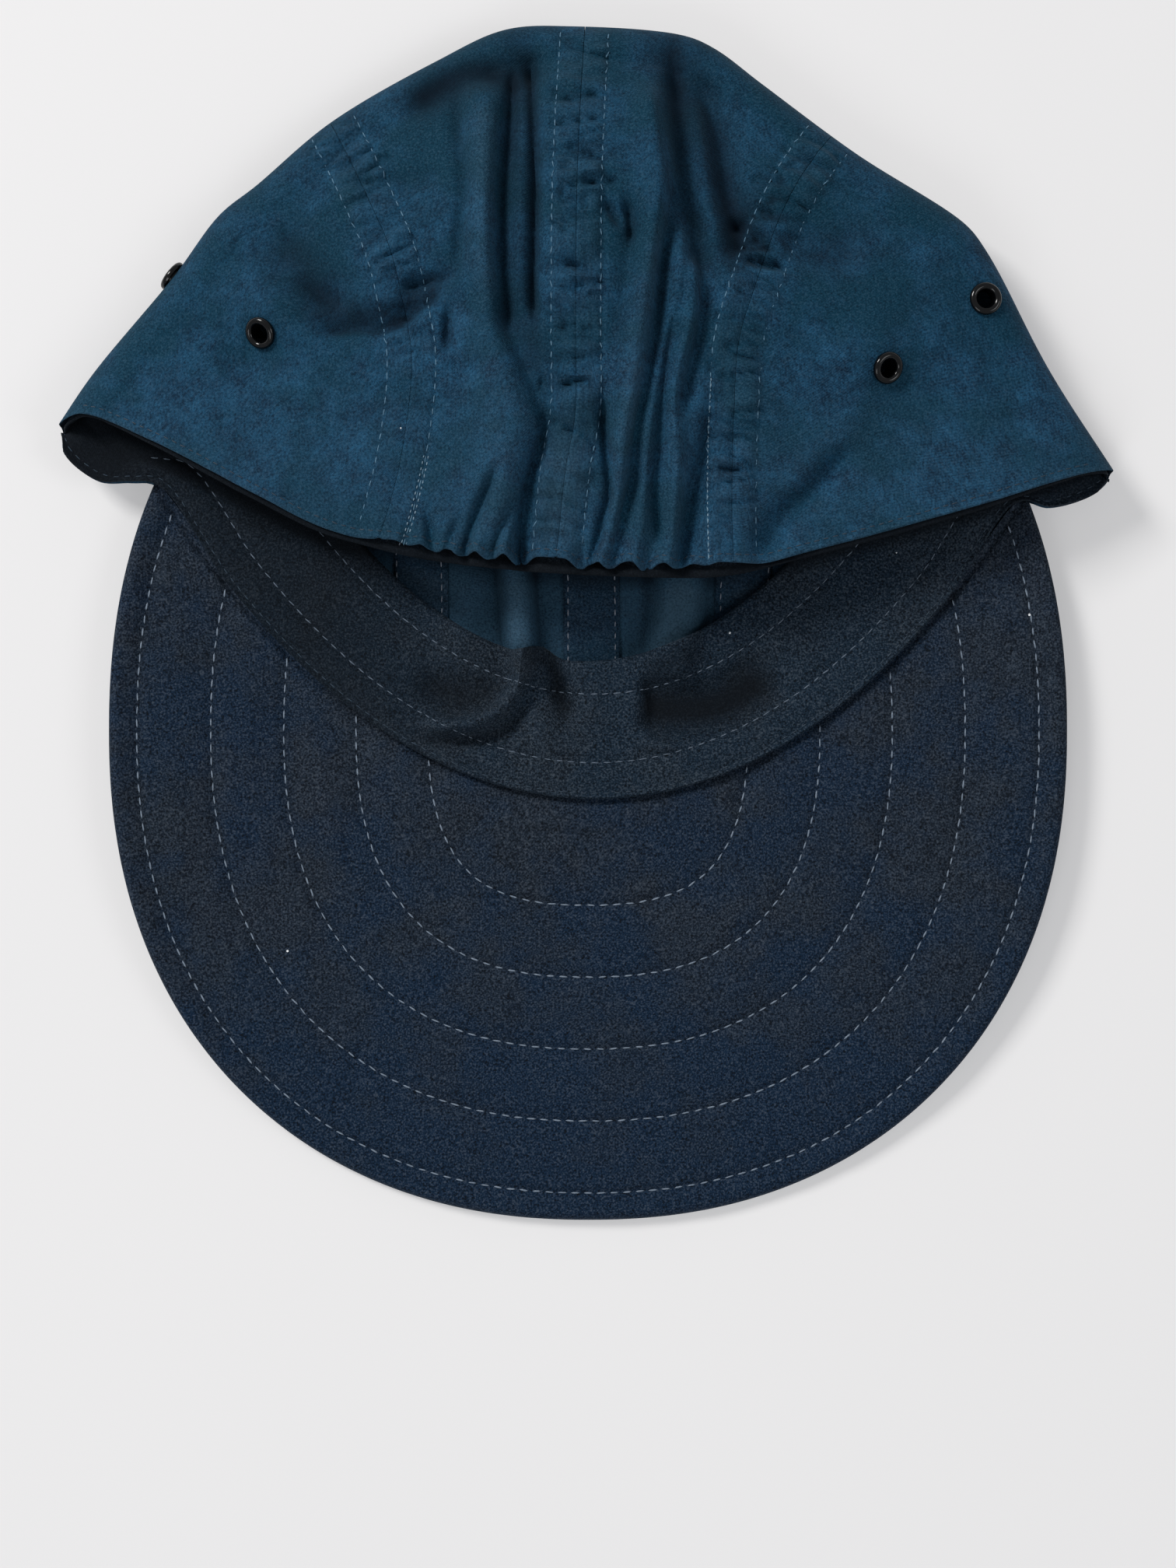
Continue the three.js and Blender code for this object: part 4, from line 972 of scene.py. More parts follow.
def cloth(name, dark, light, patch, pale, wrong_side=None, rib=0.62, flecks=1.5, blotchy=0.9, crumple=0.25,
          rib_depth=0.035, roughness=0.86):
    material, tree = new_material(name)
    weave = tree.add("ShaderNodeUVMap", {"uv_map": "weave"})
    split = tree.add("ShaderNodeSeparateXYZ", None, {0: weave})
    u, v = tree.part(split, "X"), tree.part(split, "Y")
    place = tree.add("ShaderNodeTexCoord", output="Object")

    def within(value, low=0.0, high=1.0):
        return tree.add("ShaderNodeClamp", None, {0: value, 1: low, 2: high})

    def threads_along(stretch, layer):
        drawn = tree.add("ShaderNodeCombineXYZ", None, {0: u * stretch[0], 1: v * stretch[1], 2: layer})
        return noise(tree, drawn, THREAD_SCALE, 3.0, 0.65)

    warp, weft = threads_along(WARP_STRETCH, 0.0), threads_along(WEFT_STRETCH, 3.0)
    ribs = ((u + v * RIB_SLANT) * (RIB_TURN / rib) + warp * RIB_WANDER).sine() * 0.5 + 0.5
    heather = warp * 0.55 + weft * 0.45
    dye = noise(tree, place, DYE_SCALE, 3.0, 0.6)
    blotches = noise(tree, place, BLOTCH_SCALE, 3.0, 0.6)
    fleck = noise(tree, place, FLECK_SCALE, 1.0, 0.6)
    crumpled = noise(tree, place, CRUMPLE_SCALE, 2.5, 0.55)
    creased = noise(tree, place, CREASE_SCALE, 2.0, 0.6)
    tone = tree.add("ShaderNodeAttribute", {"attribute_name": "tone"}, output="Fac")
    stain = tree.add("ShaderNodeAttribute", {"attribute_name": "stain"}, output="Fac")
    reverse = tree.add("ShaderNodeAttribute", {"attribute_name": "reverse"}, output="Fac")

    woven = (heather - 0.5) * HEATHER_CONTRAST + (ribs - 0.5) * RIB_CONTRAST
    share = woven + (blotches - 0.5) * blotchy + MIDDLE_SHADE
    threads = colour_mix(tree, within(share), dark, light)
    dyed = tree.add("ShaderNodeMapRange", None, {0: dye, 1: 0.42, 2: 0.6, 3: 0.0, 4: PATCH_MOST})
    coloured = colour_mix(tree, within(dyed + stain), threads, patch)
    if wrong_side:
        coloured = colour_mix(tree, reverse * WRONG_SIDE_MOST, coloured, wrong_side)
    deep = tuple(value * DEEP_SHARE for value in dark[:3]) + (1.0,)
    light_flecks = colour_mix(tree, within((fleck - 0.5) * flecks), coloured, pale)
    flecked = colour_mix(tree, within((0.5 - fleck) * (flecks * DARK_FLECKS)), light_flecks, deep)
    # Positive tone is painted shade: the colour darkens towards deep
    shaded = colour_mix(tree, within(tone) * TONE_MOST, flecked, deep)
    # Negative tone paints light on ridges and lit stretches, and pales the cloth low on the back sheet
    paled = colour_mix(tree, within(tone * -1.0) * (fleck * PALE_MOST), shaded, pale)
    cells = {"Vector": place, "Scale": LINT_SCALE}
    specks = tree.add("ShaderNodeTexVoronoi", {"feature": "F1"}, cells, "Distance")
    rare = noise(tree, place, LINT_SPREAD, 0.0)
    lint = (LINT_RADIUS - specks) * 1000.0 * rare.above(LINT_RARITY)
    dusted = colour_mix(tree, within(lint), paled, LINT)

    weave_height = ribs * (rib_depth * MM) + heather * (HEATHER_DEPTH * MM)
    height = weave_height + crumpled * (crumple * MM) + creased * (CREASE_DEPTH * MM)
    normal = tree.add("ShaderNodeBump", None, {"Strength": 0.9, "Distance": 1.0, "Height": height}, "Normal")
    surfaced(tree, {"Base Color": dusted, "Roughness": roughness, "Specular IOR Level": CLOTH_GLOSS,
                    "Normal": normal, **SHEEN})
    return material


CROWN_CLOTH = cloth(
    "crown_cotton", dark=linear(4, 30, 50), light=linear(27, 73, 102), patch=linear(3, 45, 63),
    pale=linear(70, 96, 114), wrong_side=linear(42, 65, 82), rib=0.5, flecks=0.8, blotchy=1.5, crumple=0.42)
PEAK_CLOTH = cloth(
    "peak_twill", dark=linear(9, 18, 29), light=linear(34, 45, 58), patch=linear(8, 30, 51),
    pale=linear(82, 89, 98))
BAND_CLOTH = cloth(
    "band_twill", dark=linear(8, 18, 28), light=linear(34, 47, 60), patch=linear(13, 31, 46),
    pale=linear(84, 92, 100))
INNER_TAPE = cloth(
    "tape_cotton", dark=linear(11, 28, 43), light=linear(29, 54, 75), patch=linear(16, 42, 60),
    pale=linear(78, 94, 107), rib=0.5, flecks=1.1)

# %% [markdown]
# The crown's four panels
#
# Each panel is one piece of cotton, sewn to its neighbours, so each is its own wall of cloth. They could be
# one mesh with seams drawn on it, but then no edge would dip into the seams. All four have the same number of
# columns, so the grid is finest in the narrow centre panels, where most of the folds are.

# %% Panels
CROWN_THICKNESS = 0.8
BACK_ROWS, FRONT_ROWS, PANEL_STEPS = 176, 74, 100
PANEL_PLACES = ("left_side", "left_centre", "right_centre", "right_side")
PANELS = [{"name": "crown_" + place, "node": "crown_panel_" + place, "from": first, "to": first + 1}
          for first, place in enumerate(PANEL_PLACES, -2)]
PANEL_GAP = {"side": 0.0005, "centre": 0.001}
TOP_STAIN, TOP_STAIN_START, TOP_STAIN_FULL = 0.3, 84, 140
FOLD_ROWS = slice(FRONT_ROWS - 3, FRONT_ROWS + 4)
CORNER_CROWDING = 1.25
CORNER_THINNING, CORNER_THINNEST = 9, 0.15
CORNERS = np.array([BACK_HEM.at(0.0), BACK_HEM.at(1.0)])

crown_rows = np.concatenate([-np.linspace(1, 0, FRONT_ROWS + 1)[:-1], np.linspace(0, 1, BACK_ROWS + 1)])


def panel_columns(panel):
    even = np.linspace(0, 1, PANEL_STEPS + 1)
    if panel["from"] == -2:
        return mix(-2, -1 - PANEL_GAP["side"], even**CORNER_CROWDING)
    if panel["to"] == 2:
        return mix(1 + PANEL_GAP["side"], 2, 1 - (1 - even) ** CORNER_CROWDING)
    return mix(panel["from"] + PANEL_GAP["centre"], panel["to"] - PANEL_GAP["centre"], even)


def corner_distance(points):
    return np.linalg.norm(points[..., None, :2] - CORNERS, axis=-1).min(-1)


def corner_share(points):
    """0 at a hem corner, where the cloth is doubled sharply back, and 1 away from it."""
    return smooth_step(0, CORNER_THINNING, corner_distance(points))


def kept_outwards(grid, normals):
    """Turns back the few normals that flip beside a hem corner, where a panel's rows run along the fold."""
    tangent = OUTLINE.tangent(OUTLINE.nearest(grid[:, FOLD_ROWS, :2])[1])
    outwards = np.stack([-tangent[..., 1], tangent[..., 0]], -1)
    facing = (normals[:, FOLD_ROWS, :2] * outwards).sum(-1)
    normals[:, FOLD_ROWS] *= np.where(facing < 0, -1, 1)[..., None]
    return normals


crown_pieces = {}
for panel in PANELS:
    grid, tones = crown_point(panel_columns(panel)[:, None], crown_rows[None])
    normals = kept_outwards(grid, grid_normals(grid))
    depth = CROWN_THICKNESS * mix(CORNER_THINNEST, 1, corner_share(grid))
    # Painted shade on the inside of the front sheet, below and under the back hem
    inside_tones = np.where(crown_rows < 0, np.clip(tones + under_hem(grid[..., :2]), -1, 1), tones)
    top_stain = TOP_STAIN * smooth_step(TOP_STAIN_START, TOP_STAIN_FULL, grid[..., 1])
    piece = cloth_wall(panel["name"], grid, grid - normals * depth[..., None], CROWN_CLOTH, tones=tones,
                       inner_tones=inside_tones, square_sides=True, stains=top_stain)
    crown_pieces[panel["node"]] = piece
    print(panel["name"], "is", [round(v, 1) for v in piece.dimensions / MM], "mm")

# %% [markdown]
# Eyelets
#
# Two eyelets vent each side panel. A real one is a tube of enamelled brass pushed through a punched hole and
# rolled over at both ends. The ring is a lathed profile. Its hole is cut by a Boolean modifier, as a punch
# would, and the result is kept as a plain mesh.

# %% Punch the holes and set the rings
EYELETS = [
    {"name": "eyelet_left_inner", "panel": "crown_panel_left_side", "x": -68.6, "y": 94.8, "on_fold": False},
    {"name": "eyelet_left_outer", "panel": "crown_panel_left_side", "x": -88.8, "y": 108.7, "on_fold": True},
    {"name": "eyelet_right_inner", "panel": "crown_panel_right_side", "x": 62.5, "y": 87.1, "on_fold": False},
    {"name": "eyelet_right_outer", "panel": "crown_panel_right_side", "x": 84, "y": 102.6, "on_fold": False},
]
HOLE, BARREL, RIM, BACK_RIM = 1.9, 2.35, 3.45, 3.2
RING_SIDES = 48
PUNCH_SIDES = 24
ROLL_POINTS, ROLL_START, ROLL_END = 12, -25, 205
ROLL_MIDDLE, ROLL_HEIGHT = 0.55, 0.75
WASHER_TOP, WASHER_FOOT = -2.6, -3
PUNCH_DEPTH, PUNCH_TOP = -6, 5
WEAR_SCALE = 900.0
BLACK, WORN_BLACK = (0.0012, 0.0014, 0.0018, 1.0), (0.012, 0.013, 0.016, 1.0)


def eyelet_place(eyelet):
    """The middle of an eyelet on the cloth and the direction that it faces."""
    xy = np.array([eyelet["x"], eyelet["y"]], float)
    if eyelet["on_fold"]:
        share = OUTLINE.nearest(xy[None])[1][0]
        tangent = OUTLINE.tangent(share)
        return in_frame([*OUTLINE.at(share), FOLD_HEIGHT]), np.array([-tangent[1], tangent[0], 0])
    point, normal = on_sheet(xy[None], "back")
    return in_frame(point[0]), normal[0]


def lathe(name, profile, sides):
    """A ring turned round the Z axis from a closed profile of (radius, height) pairs in millimetres."""
    angles = np.linspace(0, 2 * math.pi, sides, endpoint=False)
    radius, height = np.array(profile).T
    grid = np.stack([np.outer(np.cos(angles), radius), np.outer(np.sin(angles), radius),
                     np.tile(height, (sides, 1))], -1) * MM
    count = len(profile)
    i, j = np.meshgrid(np.arange(sides), np.arange(count), indexing="ij")
    number = np.arange(sides * count).reshape(sides, count)
    quad = np.stack([number[i, j], number[(i + 1) % sides, j], number[(i + 1) % sides, (j + 1) % count],
                     number[i, (j + 1) % count]], -1)
    mesh = bpy.data.meshes.new(name)
    mesh.from_pydata(grid.reshape(-1, 3).tolist(), [], quad.reshape(-1, 4).tolist())
    return closed(mesh)


def ring_profile():
    """A rolled rim above, a barrel through the cloth and a flat washer below."""
    middle, reach = mix(HOLE, RIM, 0.5), (RIM - HOLE) / 2
    turn = np.radians(np.linspace(ROLL_START, ROLL_END, ROLL_POINTS))
    roll = [(middle + reach * math.cos(a), ROLL_MIDDLE + ROLL_HEIGHT * math.sin(a)) for a in turn]
    washer = [(HOLE, WASHER_TOP), (HOLE + 0.1, WASHER_FOOT), (BACK_RIM, WASHER_FOOT), (BACK_RIM, WASHER_TOP)]
    return [(RIM - 0.1, 0.1), *roll, *washer, (BARREL, -2.5), (BARREL, 0.05)]


def turned_to(mesh, middle, axis):
    matrix = Vector(axis).to_track_quat("Z", "Y").to_matrix().to_4x4()
    matrix.translation = Vector(middle)
    mesh.transform(matrix)
    return mesh


def enamel():
    """Gloss black enamel with faint wear on the rim."""
    material, tree = new_material("black_enamel")
    place = tree.add("ShaderNodeTexCoord", output="Object")
    rough = noise(tree, place, WEAR_SCALE, 3.0)
    worn = tree.add("ShaderNodeMapRange", None, {0: rough, 1: 0.55, 2: 0.8, 3: 0.0, 4: 0.3})
    colour = colour_mix(tree, worn, BLACK, WORN_BLACK)
    surfaced(tree, {"Base Color": colour, "Roughness": rough * 0.2 + 0.2, "Specular IOR Level": 0.04,
                    "Coat Weight": 0.6, "Coat Roughness": 0.1})
    return material


ENAMEL = enamel()
for eyelet in EYELETS:
    middle, axis = eyelet_place(eyelet)
    ring = lathe(eyelet["name"] + "_ring", ring_profile(), RING_SIDES)
    piece = finished(eyelet["name"] + "_ring", turned_to(ring, middle, axis), ENAMEL)
    placed(piece, "eyelet_metal", eyelet["name"])
    bore = BARREL + 0.1
    punch_profile = [(bore, PUNCH_DEPTH), (bore, PUNCH_TOP), (0, PUNCH_TOP), (0, PUNCH_DEPTH)]
    punch = linked("punch", turned_to(lathe("punch", punch_profile, PUNCH_SIDES), middle, axis))
    cloth_piece = crown_pieces[eyelet["panel"]]
    cut = cloth_piece.modifiers.new("hole", "BOOLEAN")
    cut.operation, cut.solver, cut.object = "DIFFERENCE", "EXACT", punch
    pierced = kept_mesh(cloth_piece)
    cloth_piece.modifiers.clear()
    cloth_piece.data = pierced
    bpy.data.objects.remove(punch)
    print(eyelet["name"], "axis", np.round(axis, 2))

for node, piece in crown_pieces.items():
    placed(piece, "crown_cloth", node)

# %% [markdown]
# Seam tapes
#
# Inside, a tape covers each seam so that no raw edge rubs the head. It lies on the two panels' insides and is
# as wide as the two rows of stitches that hold it. It takes its shape from the crown's own columns, a set
# number of millimetres to either side of the seam.

# %% Tapes
TAPE_HALF_WIDTH = 5.9
TAPE_THICKNESS = 0.6
TAPE_GAP = 0.2
TAPE_STEPS = 12
TAPE_START_ROW = -0.9
COLUMN_STEP = 0.04

tape_rows = crown_rows[crown_rows > TAPE_START_ROW][:-1]


def column_width(seam_column, side):
    """Millimetres on the plan for one whole column beside a seam, at each row."""
    here = crown_point(seam_column, tape_rows)[0][:, :2]
    there = crown_point(seam_column + side * COLUMN_STEP, tape_rows)[0][:, :2]
    return np.linalg.norm(there - here, axis=1) / COLUMN_STEP


for number, seam in enumerate(SEAMS):
    column = number - 1
    offsets = np.linspace(-TAPE_HALF_WIDTH, TAPE_HALF_WIDTH, TAPE_STEPS + 1)[:, None]
    left, right = column_width(column, -1), column_width(column, 1)
    columns = column + offsets / np.where(offsets < 0, left, right)
    grid, tones = crown_point(columns, tape_rows[None])
    # Painted shade on the tapes' front stretch, below and under the back hem
    tones = np.where(tape_rows < 0, np.clip(tones + under_hem(grid[..., :2]), -1, 1), tones)
    normals = grid_normals(grid)
    outer = grid - normals * (CROWN_THICKNESS + TAPE_GAP)
    inner = outer - normals * TAPE_THICKNESS
    tape = cloth_wall("tape_" + seam["name"], outer, inner, INNER_TAPE, tones=tones)
    placed(tape, "crown_cloth", "seam_tape_" + seam["name"])

# %% [markdown]
# The sweatband
#
# The sweatband is a ring of twill sewn in along the whole hem: over the peak at the front and under the
# gathered hem at the back. Its rings run from hem to free edge. Two rows of stitches press it flat along the
# hem and a third runs near the free edge. It swells a little between them and follows the slack front sheet.

# %% Rings of the band
BAND_WIDTH = 29.4
BAND_DEPTH, BAND_THICKNESS = 4.4, 1.1
HUG_DEPTH = 1.15
CLEAR_OF_CORNER, HUG_HEIGHTS = (8, 26), (-1, 7)
BAND_ROWS = 44
BAND_FRONT_STEPS, BAND_BACK_STEPS = 240, 170
BAND_CORNER = 38
BAND_CROWDING = 0.07
BAND_SMOOTHING = 1.7
FRONT_AIM, BACK_AIM = np.array([0, 110]), np.array([0, 300])
BAND_STITCHES = [1.4, 8, 22.8]
# Where the band starts above the hem; at the back it shows below the hem as a lip that takes painted shade
START_ON_ARC, START_AT_CORNERS, LIP, WIDE_LIP = 0.5, -0.3, -0.9, -1.6
WIDE_LIP_MIDDLE, WIDE_LIP_FADE = -4, (30, 46)
PAST_THE_ARC, CORNER_START_REACH = (ARC_END - 3, ARC_END + 3), 12
CORNER_SHADE, CORNER_SHADE_REACH = 0.8, 17
LEFT_SHADE, LEFT_SHADE_START, LEFT_SHADE_END = 0.62, -14, -60
HUMP_X, HUMP_WIDTH, HUMP_HALF_WIDTH = -14, 2.4, 4.5
BAND_TILT, TILT_SPAN = 0.06, 45
HOLLOW_RIM = (10.8, 12.6)
# Painted shade in the band's creases and hollows, and fainter painted light on its ridges
CREASE_TONE, RIDGE_TONE = 1.35, 0.3
WIDE_SWELL, WIDE_SWELL_START, WIDE_SWELL_END = 0.35, 8.5, 11
EDGE_SWELL, EDGE_SWELL_PLACE, EDGE_SWELL_REACH = 0.25, BAND_WIDTH - 2, 2.4
FOOT_SWELL, FOOT_SWELL_PLACE, FOOT_SWELL_REACH = 0.3, 4.6, 2
BAND_GROOVE, BAND_GROOVE_WIDTH = 0.35, 0.7
BAND_RIPPLE = (0.12, 4.5, 8)
BAND_CORNER_THINNEST = 0.4

band_valleys = as_folds([(name, rise, left * BAND_SMOOTHING, right * BAND_SMOOTHING, sharpness, path)
                         for name, rise, left, right, sharpness, path in BACK_FOLDS if rise < 0])


def smooth_front(xy):
    edge = OUTLINE.nearest(xy)[0]
    hem = FRONT_HEM.nearest(xy)[0]
    lift = side_lift(xy[..., 0]) * bell(hem, LIFT_REACH) * smooth_step(0, LIFT_EDGE, edge)
    return mix(FOLD_HEIGHT, lift, shoulder(edge)), np.zeros(xy.shape[:-1])


def smooth_back(xy):
    edge = OUTLINE.nearest(xy)[0]
    top = back_base(xy, edge, BACK_HEM.nearest(xy)[0])
    return mix(FOLD_HEIGHT, top, shoulder(edge)), np.zeros(xy.shape[:-1])


def band_front_height(xy):
    height = front_height(xy)[0]
    folds, tone = relief(band_folds, xy)
    in_hollow = (xy[..., 0] > 0) & (folds < 0)
    past_rim = np.where(in_hollow, smooth_step(*HOLLOW_RIM, xy[..., 0]), 1)
    return height + folds * past_rim, np.where(tone > 0, CREASE_TONE, RIDGE_TONE) * tone * past_rim


def band_back_height(xy):
    height = smooth_back(xy)[0]
    folds, tone = relief(band_valleys, xy)
    return height + folds * smooth_step(0, FOLD_START, OUTLINE.nearest(xy)[0]), tone


def band_point(hem, aim, share, height, sheet_height):
    """Near a hem corner the band's width runs along the fold, and elsewhere straight in from the hem."""
    share, height = np.broadcast_arrays(share, height)
    on_left = share < 0.5
    from_corner = np.where(on_left, share, 1 - share) * hem.length
    base = hem.at(share)
    corner = hem.at(np.where(on_left, 0.0, 1.0))
    fold_share = np.maximum(0, height) / OUTLINE.length
    along_fold = OUTLINE.at(np.where(on_left, fold_share, 1 - fold_share)) + base - corner
    inwards = base + unit(aim - base) * height[..., None]
    point = mix(along_fold, inwards, smooth_step(0, BAND_CORNER, from_corner)[..., None])
    z, tone = sheet_height(point)
    z = np.where(from_corner < 0.01, FOLD_HEIGHT, z)
    return with_height(point, z), tone


def band_shares(steps):
    even = np.arange(steps) / steps
    return even - BAND_CROWDING * np.sin(2 * np.pi * even)


def band_swell(height):
    """Thickness added by the turned edge and taken by the stitches, at each height above the hem."""
    wide = WIDE_SWELL * smooth_step(WIDE_SWELL_START, WIDE_SWELL_END, height)
    edge = EDGE_SWELL * bell(height - EDGE_SWELL_PLACE, EDGE_SWELL_REACH)
    foot = FOOT_SWELL * bell(height - FOOT_SWELL_PLACE, FOOT_SWELL_REACH)
    groove = sum(bell(height - row, BAND_GROOVE_WIDTH) for row in BAND_STITCHES)
    return wide + edge + foot - BAND_GROOVE * groove


def band_side(hem, aim, shares, start, width, sheet_height, smooth_height, hug):
    """One sheet's half of the band: its points, smooth points, heights, tones and depth under the crown."""
    heights = mix(start[:, None], width[:, None], np.linspace(0, 1, BAND_ROWS + 1)[None])
    points, tone = band_point(hem, aim, shares[:, None], heights, sheet_height)
    smooth = band_point(hem, aim, shares[:, None], heights, smooth_height)[0]
    from_corner = (np.minimum(shares, 1 - shares) * hem.length)[:, None]
    clear = smooth_step(*CLEAR_OF_CORNER, from_corner) * mix(1, smooth_step(*HUG_HEIGHTS, heights), hug)
    return points, smooth, heights, tone, mix(HUG_DEPTH, BAND_DEPTH, clear)


front_shares, back_shares = band_shares(BAND_FRONT_STEPS), 1 - band_shares(BAND_BACK_STEPS)
front_x, back_x = FRONT_HEM.at(front_shares)[:, 0], BACK_HEM.at(back_shares)[:, 0]
front_start = mix(START_ON_ARC, START_AT_CORNERS, smooth_step(*PAST_THE_ARC, np.abs(front_x)))
front_width = BAND_WIDTH * (1 + BAND_TILT * np.tanh(front_x / TILT_SPAN))
front_width = front_width + HUMP_WIDTH * bell(front_x - HUMP_X, HUMP_HALF_WIDTH)
back_start = mix(WIDE_LIP, LIP, smooth_step(*WIDE_LIP_FADE, np.abs(back_x - WIDE_LIP_MIDDLE)))
from_back_corner = np.minimum(back_shares, 1 - back_shares) * BACK_HEM.length
back_start = mix(START_AT_CORNERS, back_start, smooth_step(0, CORNER_START_REACH, from_back_corner))
back_width = BAND_WIDTH * (1 + BAND_TILT * np.tanh(back_x / TILT_SPAN))
front_side = band_side(
    FRONT_HEM, FRONT_AIM, front_shares, front_start, front_width, band_front_height, smooth_front, hug=0)
back_side = band_side(
    BACK_HEM, BACK_AIM, back_shares, back_start, back_width, band_back_height, smooth_back, hug=1)
both_sides = [np.concatenate(pair) for pair in zip(front_side, back_side)]
band_grid, band_smooth, band_heights, band_tones, band_depth = both_sides
band_normals = grid_normals(band_smooth, loops=True)
on_back = np.arange(len(band_grid))[:, None] >= BAND_FRONT_STEPS
# Painted shade on the band: at the hem corners, more towards the left, below the back hem, and on the lip
corner_shade = CORNER_SHADE * bell(corner_distance(band_grid), CORNER_SHADE_REACH)
left_shade = LEFT_SHADE * smooth_step(LEFT_SHADE_START, LEFT_SHADE_END, band_grid[..., 0])
inside_shade = np.maximum(under_hem(band_grid[..., :2]), corner_shade) + left_shade
band_shade = np.where(on_back, 1 - smooth_step(-0.2, 1.5, band_heights), inside_shade)
band_tones = np.clip(band_tones + band_shade, -1, 1)
band_outer = band_grid - band_normals * band_depth[..., None]
band_ripple = hills(band_grid[..., :2], *BAND_RIPPLE)
band_thickness = BAND_THICKNESS * mix(BAND_CORNER_THINNEST, 1, corner_share(band_grid))
band_thickness = band_thickness + band_swell(band_heights) + band_ripple
band_inner = band_outer - band_normals * band_thickness[..., None]
band = cloth_wall("sweatband_twill", band_outer, band_inner, BAND_CLOTH, loops=True, tones=band_tones)
placed(band, "band_cloth", "sweatband")

# %% [markdown]
# The peak
#
# A peak has a stiff board between two covers, stitched through in rows that follow its rim. The board never
# shows, so only the covers are made. Each of the five rows pulls a groove and the cloth swells between rows.
# At the rim the two covers are rolled together. The rim is a superellipse, which is a circle with fuller
# corners, and the other edge is the arc of the crown's seam.

# %% Rim and covers
PEAK_CENTRE_Y = 11.5
PEAK_FRONT_REACH, PEAK_BACK_REACH = 106.2, 111.5
PEAK_ROUNDNESS = 2.22
PEAK_INSET = 1.1
PEAK_START_ANGLE, PEAK_END_ANGLE = math.radians(153.4), math.radians(384.4)
PEAK_ALLOWANCE = 5
END_ALLOWANCE = 0.5
COVER_THICKNESS = 1.4
COVER_GAP = 0.3
COVER_TOP = 2 * COVER_THICKNESS + COVER_GAP
PEAK_ROW_FIRST, PEAK_ROW_STEP, PEAK_ROW_COUNT = 6, 15.6, 5
PEAK_GROOVE, PEAK_GROOVE_WIDTH, PEAK_SWELL = 0.5, 1.0, 0.45
ROLL_RADIUS = 2.2
TIP_STAIN, TIP_STAIN_START = 0.8, -15
UNDER_COLUMNS, UNDER_ROWS = 250, 148
TOP_COLUMNS, TOP_ROWS = 120, 60
ROW_REACH, SWELL_START = 2.6, 4.5
ROW_PUCKERS, COVER_SLACK, COVER_STREAKS = (0.14, 3.2, 11), (0.16, 13, 12), (0.14, 5.5, 13)
STREAK_STRETCH = np.array([1.9, 0.5])
RIM_ROLL, RIM_ROLL_PLACE, RIM_ROLL_WIDTH = 0.35, 2.4, 1.8
SEAM_DIP, SEAM_DIP_PLACE, SEAM_DIP_WIDTH = 0.7, -0.5, 1.2
# The painted shade of the stitch rows' grooves: its strength and half width
ROW_TONE, ROW_TONE_WIDTH = 0.35, 0.9
MIDDLE_HEIGHT, RIM_HALF_GAP, THINNEST_COVER = COVER_THICKNESS + COVER_GAP / 2, 0.12, 0.05
TOP_SWELL = 0.75
COVER_EDGE = 0.1


def power(value, exponent):
    return np.sign(value) * np.abs(value) ** exponent


def rim_points(share):
    angle = mix(PEAK_START_ANGLE, PEAK_END_ANGLE, share)
    reach = np.where(np.sin(angle) > 0, PEAK_BACK_REACH, PEAK_FRONT_REACH)
    x = (PEAK_HALF_WIDTH - PEAK_INSET) * power(np.cos(angle), 2 / PEAK_ROUNDNESS)
    return np.stack([x, PEAK_CENTRE_Y + reach * power(np.sin(angle), 2 / PEAK_ROUNDNESS)], -1)


PEAK_RIM = Line(rim_points(np.linspace(0, 1, 121)), 300)


def peak_grid(columns, rows, allowance):
    """Plan points from the seam's edge out to the rim, and each one's distance to the rim."""
    share = np.linspace(0, 1, columns + 1)
    x = mix(-ARC_END + 2, ARC_END - 2, share)
    edge = np.stack([x, arc_y(x) + allowance * mix(END_ALLOWANCE, 1, np.sqrt(np.sin(np.pi * share)))], -1)
    station = np.linspace(0, 1, rows + 1)
    plan = mix(edge[:, None], rim_points(share)[:, None], station[None, :, None])
    return plan, PEAK_RIM.nearest(plan)[0]


def cover_relief(plan, inside):
    """Swell, grooves and small puckers of one cover, and the round of its rim."""
    place = (inside - PEAK_ROW_FIRST) / PEAK_ROW_STEP
    row = np.clip(np.round(place), 0, PEAK_ROW_COUNT - 1)
    beside = np.abs(place - row) * PEAK_ROW_STEP
    swell = PEAK_SWELL * (1 - bell(beside, SWELL_START)) - PEAK_GROOVE * bell(beside, PEAK_GROOVE_WIDTH)
    pucker = hills(plan, *ROW_PUCKERS) * bell(beside, ROW_REACH) + hills(plan, *COVER_SLACK)
    streak = hills(plan * STREAK_STRETCH, *COVER_STREAKS)
    rolled = RIM_ROLL * bell(inside - RIM_ROLL_PLACE, RIM_ROLL_WIDTH)
    round_off = np.sqrt(np.maximum(0, 1 - (1 - np.minimum(1, inside / ROLL_RADIUS)) ** 2))
    return swell + pucker + streak + rolled, round_off


under_plan, under_inside = peak_grid(UNDER_COLUMNS, UNDER_ROWS, PEAK_ALLOWANCE)
rise, round_off = cover_relief(under_plan, under_inside)
lift = side_lift(under_plan[..., 0])
seam_distance = arc_y(under_plan[..., 0]) - under_plan[..., 1]
seam_dip = SEAM_DIP * bell(seam_distance - SEAM_DIP_PLACE, SEAM_DIP_WIDTH)
under_top = mix(MIDDLE_HEIGHT + RIM_HALF_GAP, COVER_TOP + rise - seam_dip, round_off) + lift
under_bottom = np.full_like(under_top, COVER_THICKNESS + COVER_GAP) + lift
under_bottom = np.minimum(under_bottom, under_top - THINNEST_COVER)
